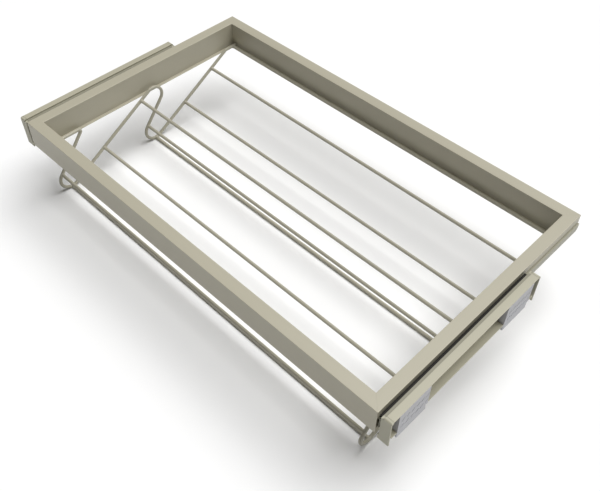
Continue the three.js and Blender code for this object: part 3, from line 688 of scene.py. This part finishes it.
class Turtle:
    """Bends a wire: a ring of vertices that is pushed straight and spun round bends."""

    degrees_a_step = 7
    least_steps = 3

    def __init__(self, x: float, y: float, z: float, radius: float, facets: int = 20) -> None:
        """Starts a wire along +Y.

        Args:
            x: The plane that the wire lies in.
            y: Where its end is.
            z: The height of its centre.
            radius: Of the wire.
            facets: Of its section.
        """
        self.bm = new_bmesh()
        self.spot = Vector((x, y, z))
        self.heading = 0.0
        ring = bmesh.ops.create_circle(self.bm, cap_ends=True, segments=facets, radius=radius,
                                       matrix=Matrix.Rotation(math.pi / 2, 4, "X"))
        bmesh.ops.translate(self.bm, verts=ring["verts"], vec=self.spot)
        self.rim = list(self.bm.edges)

    @property
    def ahead(self) -> Vector:
        """The direction the wire runs in now."""
        return Vector((0, math.cos(self.heading), math.sin(self.heading)))

    def straight(self, length: float) -> None:
        """Runs the wire straight on."""
        made = bmesh.ops.extrude_edge_only(self.bm, edges=self.rim)["geom"]
        moved = [g for g in made if isinstance(g, BMVert)]
        self.rim = [g for g in made if isinstance(g, BMEdge)
                    and all(v in moved for v in g.verts)]
        bmesh.ops.translate(self.bm, verts=moved, vec=self.ahead * length)
        self.spot += self.ahead * length

    def bend(self, radius: float, degrees: float) -> None:
        """Bends the wire, upwards if the angle is positive.

        Args:
            radius: Of the bend at the wire's centre.
            degrees: How far the wire turns.
        """
        angle = math.radians(degrees)
        sign = 1 if angle > 0 else -1
        side = Vector((0, -math.sin(self.heading), math.cos(self.heading))) * sign
        centre = self.spot + side * radius
        steps = max(self.least_steps, math.ceil(abs(degrees) / self.degrees_a_step))
        verts = list({v for e in self.rim for v in e.verts})
        made = bmesh.ops.spin(self.bm, geom=verts + self.rim, cent=centre, axis=(1, 0, 0),
                              dvec=(0, 0, 0), angle=angle, steps=steps, use_merge=False,
                              use_duplicate=False)["geom_last"]
        self.rim = [g for g in made if isinstance(g, BMEdge)]
        turn = Matrix.Rotation(angle, 3, "X")
        self.spot = centre + turn @ (self.spot - centre)
        self.heading += angle

    def finish(self) -> BMesh:
        """Closes the far end and hands the wire over."""
        bmesh.ops.edgeloop_fill(self.bm, edges=self.rim)
        face_outwards(self.bm)
        return self.bm


@dataclass
class WireShelf:
    """Two zig-zag side wires and the rods welded between them."""

    wire_radius: float = 3 * MM
    front_flat: float = 81 * MM     # from the frame's front to the first bend
    rear_flat: float = 48 * MM      # from the last bend to the frame's back
    slope: float = 29.7             # degrees
    leg: float = 49.7
    loop_radius: float = 20 * MM
    apex_radius: float = 18.5 * MM
    bend_radius: float = 4 * MM
    weld_flare: float = 0.9 * MM
    weld_length: float = 1.6 * MM
    weld_sink: float = 0.7          # into the side wire, as a share of its radius
    weld_throat: Point = (0.35, 0.4)    # shares of the flare and length where it curves
    facets: int = 24
    body: str = "pull_out"
    front: float = field(init=False)
    back: float = field(init=False)
    level: float = field(init=False)
    lowest: float = field(init=False)

    def __post_init__(self) -> None:
        """Reads the places that the CAD nodes give."""
        self.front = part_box("rail_front")[0].y
        self.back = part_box("rail_rear")[1].y
        self.level = self.centre("rod_top_front").z
        self.lowest = self.centre("rod_front_loop").z

    def centre(self, node: str) -> Vector:
        """The middle of a CAD node's box."""
        low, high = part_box(node)
        return (low + high) / 2

    def side_wire(self, hand: Hand) -> BMesh:
        """Bends one side wire from its front end to its rear end."""
        low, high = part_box(f"wire_{hand.word}")
        x = (low.x + high.x) / 2
        slope, leg = math.radians(self.slope), math.radians(self.leg)
        drop = self.level - self.lowest - self.loop_radius * (1 + math.cos(leg))
        leg_run = drop / math.sin(leg)
        tuck = self.bend_radius / math.tan(leg / 2)
        foot = self.leg_foot(self.front + self.front_flat, leg_run)
        rear_foot = self.rear_tier_foot(leg_run)
        heel = self.heel(foot)
        rear_heel = self.heel(rear_foot)
        rise, fall = math.tan(slope), math.tan(leg)
        tip = (rear_foot[1] - heel[1] + rise * heel[0] - fall * rear_foot[0]) / (rise - fall)
        back_off = self.apex_radius / math.tan((leg - slope) / 2)
        up_run = (tip - heel[0]) / math.cos(slope) - back_off
        down_run = (tip - rear_foot[0]) / math.cos(leg) - back_off
        last_tuck = self.bend_radius * math.tan(slope / 2)
        last_run = (self.level - rear_heel[1]) / math.sin(slope) - last_tuck
        wire = Turtle(x, low.y, self.level, self.wire_radius, self.facets)
        wire.straight(self.front + self.front_flat - tuck - low.y)
        wire.bend(self.bend_radius, self.leg - 180)
        wire.straight(leg_run - tuck)
        wire.bend(self.loop_radius, 180 - self.leg + self.slope)
        wire.straight(up_run)
        wire.bend(self.apex_radius, self.leg - self.slope - 180)
        wire.straight(down_run)
        wire.bend(self.loop_radius, 180 - self.leg + self.slope)
        wire.straight(last_run)
        wire.bend(self.bend_radius, -self.slope)
        wire.straight(high.y - wire.spot.y)
        return wire.finish()

    def leg_foot(self, top: float, run: float) -> Point:
        """Where a leg that starts at the level of the ledges meets its loop, as (y, z)."""
        leg = math.radians(self.leg)
        return top - run * math.cos(leg), self.level - run * math.sin(leg)

    def heel(self, foot: Point) -> Point:
        """Where a loop ends and its slope starts, as (y, z)."""
        slope, leg = math.radians(self.slope), math.radians(self.leg)
        y = foot[0] + self.loop_radius * (math.sin(leg) + math.sin(slope))
        return y, self.lowest + self.loop_radius * (1 - math.cos(slope))

    def rear_tier_foot(self, run: float) -> Point:
        """The foot of the second leg, set so that the slope ends at the rear flat."""
        reach = self.heel(self.leg_foot(0.0, run))
        slope_run = (self.level - reach[1]) / math.tan(math.radians(self.slope))
        return self.leg_foot(self.back - self.rear_flat - slope_run - reach[0], run)

    def rod(self, node: str) -> BMesh:
        """A rod with its ends flared into the welds on the side wires."""
        middle = self.centre(node)
        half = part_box("wire_right")[0].x
        sink = self.wire_radius * self.weld_sink
        radius = self.wire_radius
        flare, throat = self.weld_throat
        far_end = [(radius, half - self.weld_length),
                   (radius + self.weld_flare * flare, half - self.weld_length * throat),
                   (radius + self.weld_flare, half), (radius, half + sink),
                   (0.0, half + sink)]
        profile = [(r, -at) for r, at in reversed(far_end)] + far_end
        bm = lathe(profile, Vector((0, middle.y, middle.z)), Vector((1, 0, 0)), self.facets)
        for vert in bm.verts:
            vert.co.z = max(vert.co.z, self.lowest - self.wire_radius)
        return bm

    def build(self) -> None:
        """Makes the side wires and the rods."""
        dress = Dressing(WIRE_COAT, "wire_paint", self.body)
        for hand in Hand:
            piece = loose_object(f"wire_{hand.word}_bent", self.side_wire(hand))
            dress.wear(piece, f"wire_{hand.word}")
        rods = ["rod_top_front", "rod_top_rear"]
        rods += [f"rod_{end.word}_{place}" for end in End
                 for place in ("leg", "loop", "heel", "toe")]
        for node in rods:
            dress.wear(loose_object(f"{node}_welded", self.rod(node)), node)


# ---- slides and covers ----


@dataclass
class BallSlide:
    """One telescopic slide: drawer, middle and fixed members, and two ball cages."""

    hand: Hand
    edge_radius: float = 0.4 * MM
    end_radius: float = 7 * MM
    drawer_wall: float = 1.2 * MM
    middle_wall: float = 1.1 * MM
    fixed_web: float = 1.0 * MM
    fixed_wall: float = 1.2 * MM
    cage_strip: float = 0.8 * MM
    cage_radius: float = 0.1 * MM
    cage_webs: Point = (0.6 * MM, 0.5 * MM)
    balls_per_strip: int = 5
    ball_radii: Point = (0.8 * MM, 1.2 * MM)
    ball_facets: tuple[int, int] = (20, 12)
    corner_facets: int = 10

    def channel(self, node: str, web: float, wall: float) -> BMesh:
        """A channel that fills a CAD node's box, open towards the frame.

        Args:
            node: The CAD node.
            web: Thickness of the upright.
            wall: Thickness of the flanges.

        Returns:
            The channel with rolled edges.
        """
        low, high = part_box(node)
        outline = channel_outline(*across(node, self.hand), low.z, high.z, web, wall)
        return bar(outline, Axis.Y, low.y, high.y, self.edge_radius)

    def rear_corner_tool(self) -> BMesh:
        """What rounds the drawer member's lower rear corner, as a tool to cut with."""
        low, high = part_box(f"slide_drawer_{self.hand.word}")
        radius, over = self.end_radius, 1 * MM
        centre = (high.y - radius, low.z + radius)
        outline = [(high.y + over, centre[1]), *arc(centre, radius, 0, -90, self.corner_facets),
                   (centre[0], low.z - over), (high.y + over, low.z - over)]
        return bar(outline, Axis.X, low.x - over, high.x + over, 0)

    def cage(self, place: str, web: float, ball: float) -> tuple[BMesh, BMesh]:
        """A ball cage and its balls.

        Args:
            place: inner or outer, as in the node's name.
            web: Thickness of its upright.
            ball: Radius of a ball.

        Returns:
            The pressed strip and the balls, apart.
        """
        node = f"cage_{place}_{self.hand.word}"
        low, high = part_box(node)
        middle = (low.z + high.z) / 2
        # The box is over the balls, which stand out past the strips.
        track = high.z - middle - ball
        half = track + self.cage_strip / 2
        lip, out = across(node, self.hand)
        outline = channel_outline(lip, out, middle - half, middle + half, web,
                                  self.cage_strip)
        pressed = bar(outline, Axis.Y, low.y, high.y, self.cage_radius, 2)
        pitch = (high.y - low.y) / self.balls_per_strip
        centre = (lip + out - self.hand.value * web) / 2
        round_facets, pole_facets = self.ball_facets
        balls = new_bmesh()
        for level in (middle - track, middle + track):
            for i in range(self.balls_per_strip):
                spot = Vector((centre, low.y + pitch * (i + 0.5), level))
                bmesh.ops.create_uvsphere(balls, u_segments=round_facets,
                                          v_segments=pole_facets, radius=ball,
                                          matrix=Matrix.Translation(spot))
        return pressed, balls

    def build(self) -> None:
        """Makes the members and the cages of this side."""
        word = self.hand.word
        # the fixed and middle members' near-black colour is painted shade for the gap between
        # frame and cover
        members = [
            ("drawer", self.drawer_wall, self.drawer_wall, "pull_out", DRAWER_COAT),
            ("middle", self.middle_wall, self.middle_wall, f"middle_body_{word}", SLIDE_PAINTED_SHADE),
            ("fixed", self.fixed_web, self.fixed_wall, "wardrobe_side", SLIDE_PAINTED_SHADE),
        ]
        for member, web, wall, body, finish in members:
            node = f"slide_{member}_{word}"
            piece = loose_object(f"{node}_rolled", self.channel(node, web, wall))
            if member == "drawer":
                carve(piece, [self.rear_corner_tool()])
            Dressing(finish, "slide_steel", body).wear(piece, node)
            flat_shaded(piece)
        for place, web, ball in zip(("inner", "outer"), self.cage_webs, self.ball_radii):
            node = f"cage_{place}_{word}"
            body = f"cage_{place}_body_{word}"
            pressed, balls = self.cage(place, web, ball)
            strip = loose_object(f"{node}_pressed", pressed)
            Dressing(CAGE_STEEL, "cage_steel", body).wear(strip, node)
            Dressing(BALL_STEEL, "cage_steel", body).wear(
                loose_object(f"balls_{place}_{word}", balls))
        coat_node(f"stop_{word}", STOP_RUBBER)


@dataclass
class SlideCover:
    """The cover of one slide with its end caps."""

    hand: Hand
    wall: float = 1.5 * MM
    brim_reach: float = 2.3 * MM        # in over the slide from the cover's upright
    brim_width: float = 4.8 * MM
    brim_drop: float = 3 * MM
    edge_radius: float = 0.35 * MM
    cap_thickness: float = 5 * MM
    cap_plate: float = 2 * MM
    cap_edge: float = 3 * MM
    cap_edge_facets: int = 8
    boss_width: float = 4 * MM
    boss_length: float = 1.7 * MM
    foot_reach: float = 1.9 * MM
    foot_height: float = 10 * MM
    gap: float = 0.3 * MM
    over: float = 1 * MM
    body: str = "wardrobe_side"
    brim: float = field(init=False)
    lip: float = field(init=False)
    face: float = field(init=False)
    step: float = field(init=False)
    top: float = field(init=False)
    bottom: float = field(init=False)

    def __post_init__(self) -> None:
        """Reads the places that the CAD nodes give."""
        low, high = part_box(f"cover_{self.hand.word}")
        self.brim, self.lip = across(f"cover_{self.hand.word}", self.hand)
        self.face = self.brim + self.hand.value * self.brim_reach
        self.step = self.brim + self.hand.value * self.brim_width
        self.top, self.bottom = high.z, low.z

    def crown(self) -> list[Point]:
        """The top of the section, from the brim's tip to the lip."""
        ledge = self.top - self.brim_drop
        return [(self.brim, ledge), (self.step, ledge), (self.step, self.top),
                (self.lip, self.top)]

    def shell(self) -> BMesh:
        """The channel of rolled sheet with its stepped brim."""
        low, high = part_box(f"cover_{self.hand.word}")
        sign, wall = self.hand.value, self.wall
        inner = self.face + sign * wall
        under = self.top - wall
        brim_under = under - self.brim_drop
        step = self.step + sign * wall
        outline = [*self.crown(), (self.lip, under), (step, under), (step, brim_under),
                   (inner, brim_under), (inner, self.bottom + wall),
                   (self.lip, self.bottom + wall), (self.lip, self.bottom),
                   (self.face, self.bottom), (self.face, brim_under),
                   (self.brim, brim_under)]
        return bar(outline, Axis.Y, low.y, high.y, self.edge_radius)

    def apron_gaps(self, apron: float) -> list[BMesh]:
        """Tools for the lower wall, one at each pad, for aprons so thick to hang through."""
        tools = []
        for end in End:
            low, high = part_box(f"pad_{end.word}_{self.hand.word}")
            outer = across(f"pad_{end.word}_{self.hand.word}", self.hand)[1]
            inner = outer - self.hand.value * (apron + self.gap)
            far = outer + self.hand.value * self.over
            outline = rectangle(min(inner, far), max(inner, far), self.bottom - self.over,
                                self.bottom + self.wall + self.gap)
            tools.append(bar(outline, Axis.Y, low.y - self.gap, high.y + self.gap, 0))
        return tools

    def cap(self, end: End) -> Object:
        """An end cap, thick where it meets the cover's top and thin below.

        Args:
            end: The front cap has a foot under the slide.

        Returns:
            The cap, not yet dressed.
        """
        node = f"cap_{end.word}_{self.hand.word}"
        low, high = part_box(node)
        sign = self.hand.value
        under = self.top - self.brim_drop - self.wall
        outline = [*self.crown(), (self.lip, low.z)]
        if end is End.FRONT:
            heel = self.brim - sign * self.foot_reach
            outline += [(heel, low.z), (heel, low.z + self.foot_height),
                        (self.brim, low.z + self.foot_height)]
        else:
            outline += [(self.brim, low.z)]
        outer = low.y if end is End.FRONT else high.y
        inward = -end.value

        def inwards(near: float, far: float) -> Point:
            """Places so far in from the cap's outer face, in rising order."""
            first, last = sorted((outer + inward * near, outer + inward * far))
            return first, last

        bm = bar(outline, Axis.Y, *inwards(0, self.cap_thickness), 0)
        self.round_cap(bm, outer)
        piece = loose_object(f"{node}_moulding", bm)
        wide = sorted((self.brim - sign * self.brim_width, self.lip + sign * self.over))
        hollow = bar(rectangle(*wide, low.z - self.over, under), Axis.Y,
                     *inwards(self.cap_plate, self.cap_thickness + self.over), 0)
        carve(piece, [hollow])
        start = self.face + sign * (self.wall + self.gap)
        wide = sorted((start, start + sign * self.boss_width))
        boss = bar(rectangle(*wide, self.bottom + self.wall + self.gap, under - self.wall),
                   Axis.Y, *inwards(self.cap_plate / 2, self.cap_thickness
                                   + self.boss_length), 0)
        carve(piece, [boss], "UNION")
        return piece

    def round_cap(self, bm: BMesh, outer: float) -> None:
        """Rounds the cap's outer top edge widely and its other outer edges slightly."""
        def on_outer(edge: BMEdge) -> bool:
            """Whether an edge lies in the cap's outer face."""
            return all(abs(v.co.y - outer) < NEAR for v in edge.verts)

        crown = [e for e in bm.edges if on_outer(e)
                 and all(abs(v.co.z - self.top) < NEAR for v in e.verts)]
        round_edges(bm, crown, self.cap_edge, self.cap_edge_facets)
        rest = [e for e in bm.edges if on_outer(e)]
        round_edges(bm, rest, self.edge_radius, 2)
        face_outwards(bm)

    def tone_brim(self, shell: Object) -> None:
        """Paints shade on the lower ledge and upright of the brim with a darker copy of the
        coat.
        """
        shell.data.materials.append(BRIM_PAINTED_SHADE.material())
        highest = self.top - self.brim_drop / 2
        for face in shell.data.polygons:
            middle = face.center
            if middle.z < highest and self.hand.value * (self.step - middle.x) > 0:
                face.material_index = 1

    def build(self) -> None:
        """Makes the cover and both caps."""
        word = self.hand.word
        shell = loose_object(f"cover_{word}_shell", self.shell())
        carve(shell, self.apron_gaps(WallPad.apron_thickness))
        Dressing(COVER_COAT, "cover_paint", self.body).wear(shell, f"cover_{word}")
        # painted shade: a darker copy of the coat on the brim's lower ledge and upright
        self.tone_brim(shell)
        flat_shaded(shell)
        for end in End:
            node = f"cap_{end.word}_{word}"
            cap = self.cap(end)
            Dressing(CAP_PLASTIC, "cap_plastic", self.body).wear(cap, node)
            flat_shaded(cap)


@dataclass
class WallPad:
    """A slotted wall pad, flush with its cover's lips, with an apron below the cover."""

    hand: Hand
    end: End
    edge_radius: float = 0.4 * MM
    apron_thickness: float = 3 * MM
    apron_step: float = 4 * MM      # shorter at the rear than the pad above it
    channel_gap: float = 1.8 * MM   # cover's lower edge to the pad inside the channel
    brim_gap: float = 2.5 * MM      # keeps the inner top edge clear of the cover's brim
    brim_gap_depth: float = 3 * MM
    slots: int = 6
    slot_pitch: float = 9.7 * MM
    slot_start: float = 4 * MM
    slot_width: float = 2.6 * MM
    slot_rise: float = 6 * MM
    slot_lean: float = 6 * MM
    slot_depth: float = 2.5 * MM
    slot_rows: Point = (22 * MM, 37 * MM)
    over: float = 1 * MM
    body: str = "wardrobe_side"

    def node(self) -> str:
        """The CAD node's name."""
        return f"pad_{self.end.word}_{self.hand.word}"

    def outer(self) -> float:
        """X of the face that bears on the wardrobe's side."""
        return across(self.node(), self.hand)[1]

    def block(self) -> BMesh:
        """The pad's side outline run through its thickness, its outer rim rounded."""
        low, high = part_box(self.node())
        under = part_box(f"cover_{self.hand.word}")[0].z
        outline = [(low.y, high.z), (low.y, low.z), (high.y - self.apron_step, low.z),
                   (high.y - self.apron_step, under), (high.y, under), (high.y, high.z)]
        bm = bar(outline, Axis.X, low.x, high.x, self.edge_radius, 2)
        outer = self.outer()
        rim = [e for e in bm.edges if all(abs(v.co.x - outer) < NEAR for v in e.verts)]
        round_edges(bm, rim, self.edge_radius, 2)
        face_outwards(bm)
        return bm

    def back_tools(self) -> list[BMesh]:
        """Tools that thin the apron and ease the inner top edge."""
        low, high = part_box(self.node())
        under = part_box(f"cover_{self.hand.word}")[0].z
        sign = self.hand.value
        inner = across(self.node(), self.hand)[0]
        behind = sorted((inner - sign * self.over,
                         self.outer() - sign * self.apron_thickness))
        top = sorted((inner - sign * self.over, inner + sign * self.brim_gap))
        run = (low.y - self.over, high.y + self.over)
        return [
            bar(rectangle(*behind, low.z - self.over, under + self.channel_gap), Axis.Y,
                *run, 0),
            bar(rectangle(*top, high.z - self.brim_gap_depth, high.z + self.over), Axis.Y,
                *run, 0),
        ]

    def slot_tools(self) -> list[BMesh]:
        """Tools for the two rows of leaning slots in the outer face."""
        low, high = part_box(self.node())
        frame_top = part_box("rail_front")[1].z
        outer = self.outer()
        ends = sorted((outer - self.hand.value * self.slot_depth,
                       outer + self.hand.value * self.over))
        tools = []
        for drop in self.slot_rows:
            bottom = frame_top - drop
            for i in range(self.slots):
                y = low.y + self.slot_start + self.slot_pitch * i
                outline = [(y, bottom), (y + self.slot_width, bottom),
                           (y + self.slot_width + self.slot_lean, bottom + self.slot_rise),
                           (y + self.slot_lean, bottom + self.slot_rise)]
                tools.append(bar(outline, Axis.X, *ends, 0))
        return tools

    def build(self) -> None:
        """Makes the pad."""
        piece = loose_object(f"{self.node()}_slotted", self.block())
        carve(piece, self.back_tools())
        carve(piece, self.slot_tools())
        Dressing(PAD_NYLON, "pad_plastic", self.body).wear(piece, self.node())
        flat_shaded(piece)


# ---- fasteners ----


@dataclass
class Fasteners:
    """Countersunk screws with a cross recess, and the slides' rivets."""

    screw_radius: float = 2 * MM
    screw_head: float = 3.6 * MM
    recess_width: float = 0.9 * MM
    recess_reach: float = 2.2 * MM
    recess_depth: float = 1.1 * MM
    thread_pitch: float = 1.4 * MM
    thread_depth: float = 0.35 * MM
    rivet_radius: float = 2 * MM
    rivet_head: float = 3 * MM
    rivet_grip: float = 3.1 * MM
    tail_growth: float = 1.2 * MM
    tail_height: float = 1.2 * MM
    tail_shoulder: float = 0.9 * MM
    tail_taper: float = 0.9
    tip_height: float = 0.3 * MM
    facets: int = 24

    def screw_profile(self, length: float) -> list[Point]:
        """Half section of a screw: cone head, plain neck, ridged shank, blunt tip."""
        cone = self.screw_head - self.screw_radius
        root = self.screw_radius - self.thread_depth
        points = [(0.0, 0.0), (self.screw_head, 0.0), (self.screw_radius, cone)]
        at = cone + self.thread_pitch
        while at + self.thread_pitch < length:
            points += [(root, at), (self.screw_radius, at + self.thread_pitch / 2)]
            at += self.thread_pitch
        return points + [(root, at), (root, length - self.tip_height), (0.0, length)]

    def rivet_profile(self) -> list[Point]:
        """Half section of a rivet: flush cone head, shank and formed tail."""
        tail = self.rivet_radius + self.tail_growth
        cone = self.rivet_head - self.rivet_radius
        return [(0.0, 0.0), (self.rivet_head, 0.0), (self.rivet_radius, cone),
                (self.rivet_radius, self.rivet_grip), (tail, self.rivet_grip),
                (tail * self.tail_taper, self.rivet_grip + self.tail_shoulder),
                (0.0, self.rivet_grip + self.tail_height)]

    def head_place(self, node: str, hand: Hand, outward: bool) -> Vector:
        """The middle of a fastener's head, and so the start of its axis."""
        low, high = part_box(node)
        middle = (low + high) / 2
        starts_low = outward == (hand is Hand.RIGHT)
        return Vector((low.x if starts_low else high.x, middle.y, middle.z))

    def recess_tool(self, place: Vector) -> BMesh:
        """A cross that cuts the driver's recess."""
        wide, reach = self.recess_width, self.recess_reach
        quarter = [(wide, -reach), (wide, -wide), (reach, -wide)]
        outline = []
        for _ in range(4):
            outline += [(place.y + y, place.z + z) for y, z in quarter]
            quarter = [(-z, y) for y, z in quarter]
        return bar(outline, Axis.X, place.x - self.recess_depth,
                   place.x + self.recess_depth, 0)

    def screw(self, node: str, hand: Hand, outward: bool, body: str) -> None:
        """Makes one screw in a CAD node's place."""
        low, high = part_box(node)
        place = self.head_place(node, hand, outward)
        way = Vector((hand.value * (1 if outward else -1), 0, 0))
        shape = lathe(self.screw_profile(high.x - low.x), place, way, self.facets)
        piece = loose_object(f"{node}_threaded", shape)
        carve(piece, [self.recess_tool(place)])
        Dressing(SCREW_ZINC, "screw_steel", body).wear(piece, node)

    def build(self) -> None:
        """Makes every screw and rivet."""
        for hand in Hand:
            for end in End:
                tail = f"{end.word}_{hand.word}"
                self.screw(f"slide_screw_{tail}", hand, False, "pull_out")
                self.screw(f"pad_screw_{tail}", hand, True, "wardrobe_side")
                node = f"rivet_{tail}"
                place = self.head_place(node, hand, True)
                shape = lathe(self.rivet_profile(), place, Vector((hand.value, 0, 0)),
                              self.facets)
                Dressing(SCREW_ZINC, "screw_steel", "wardrobe_side").wear(
                    loose_object(f"{node}_set", shape), node)


# ---- studio ----


@dataclass
class Studio:
    """White floor, soft light from behind and above, and the camera."""

    lens: float = 44.89                 # mm on a 36 mm sensor
    stand: tuple[float, float, float] = (0.64484, -0.62313, 0.89022)
    tilt: float = 41.70                 # degrees up from straight down
    turn: float = 44.67                 # degrees round Z
    floor_size: float = 30.0
    sky: float = 0.1                    # even light from all round, against the key's 1
    key_strength: float = 3.4           # watts on a square metre
    key_spread: float = 58.0            # degrees across, for soft shadows
    key_stand: tuple[float, float, float] = (0.9, 1.92, 5.5)

    def camera(self) -> None:
        """Sets the camera."""
        data = bpy.data.cameras.new("camera")
        data.lens = self.lens
        data.clip_start = 0.01
        eye = bpy.data.objects.new("camera", data)
        eye.location = self.stand
        eye.rotation_euler = (math.radians(self.tilt), 0, math.radians(self.turn))
        bpy.context.scene.collection.objects.link(eye)
        bpy.context.scene.camera = eye

    def lamp(self, name: str, stand: Sequence[float], spread: float,
             strength: float) -> None:
        """Adds a distant soft light that faces the rack.

        Args:
            name: The light's name.
            stand: The point it shines from, towards the origin.
            spread: Its width in degrees.
            strength: In watts on a square metre.
        """
        data = bpy.data.lights.new(name, "SUN")
        data.angle = math.radians(spread)
        data.energy = strength
        light = bpy.data.objects.new(name, data)
        light.location = stand
        light.rotation_euler = (-Vector(stand)).to_track_quat("-Z", "Y").to_euler()
        bpy.context.scene.collection.objects.link(light)

    def sky_dome(self) -> None:
        """An even white surround."""
        world = bpy.data.worlds.new("surround")
        world.use_nodes = True
        background = world.node_tree.nodes["Background"]
        background.inputs["Color"].default_value = (1, 1, 1, 1)
        background.inputs["Strength"].default_value = self.sky
        bpy.context.scene.world = world

    def floor(self) -> None:
        """A white sheet under the lowest wire."""
        bm = bmesh.new()
        bmesh.ops.create_grid(bm, x_segments=4, y_segments=4, size=self.floor_size / 2)
        bmesh.ops.translate(bm, verts=bm.verts, vec=(0, 0, CAD_BOX[0].z))
        sheet = loose_object("floor_sheet", bm)
        sheet.data.materials.append(FLOOR_PAPER.material())

    def build(self) -> None:
        """Sets up the whole studio."""
        bpy.context.scene.view_settings.view_transform = "Standard"
        self.camera()
        self.sky_dome()
        self.floor()
        self.lamp("key", self.key_stand, self.key_spread, self.key_strength)


def main() -> None:
    """Builds the rack's looks and the studio, piece by piece."""
    logging.basicConfig(level=logging.INFO, format="%(name)s: %(message)s")
    Studio().build()
    ProfileFrame().build()
    WireShelf().build()
    for hand in Hand:
        BallSlide(hand).build()
        SlideCover(hand).build()
        for end in End:
            WallPad(hand, end).build()
    Fasteners().build()
    bpy.context.view_layer.update()


if __name__ == "__main__":
    main()
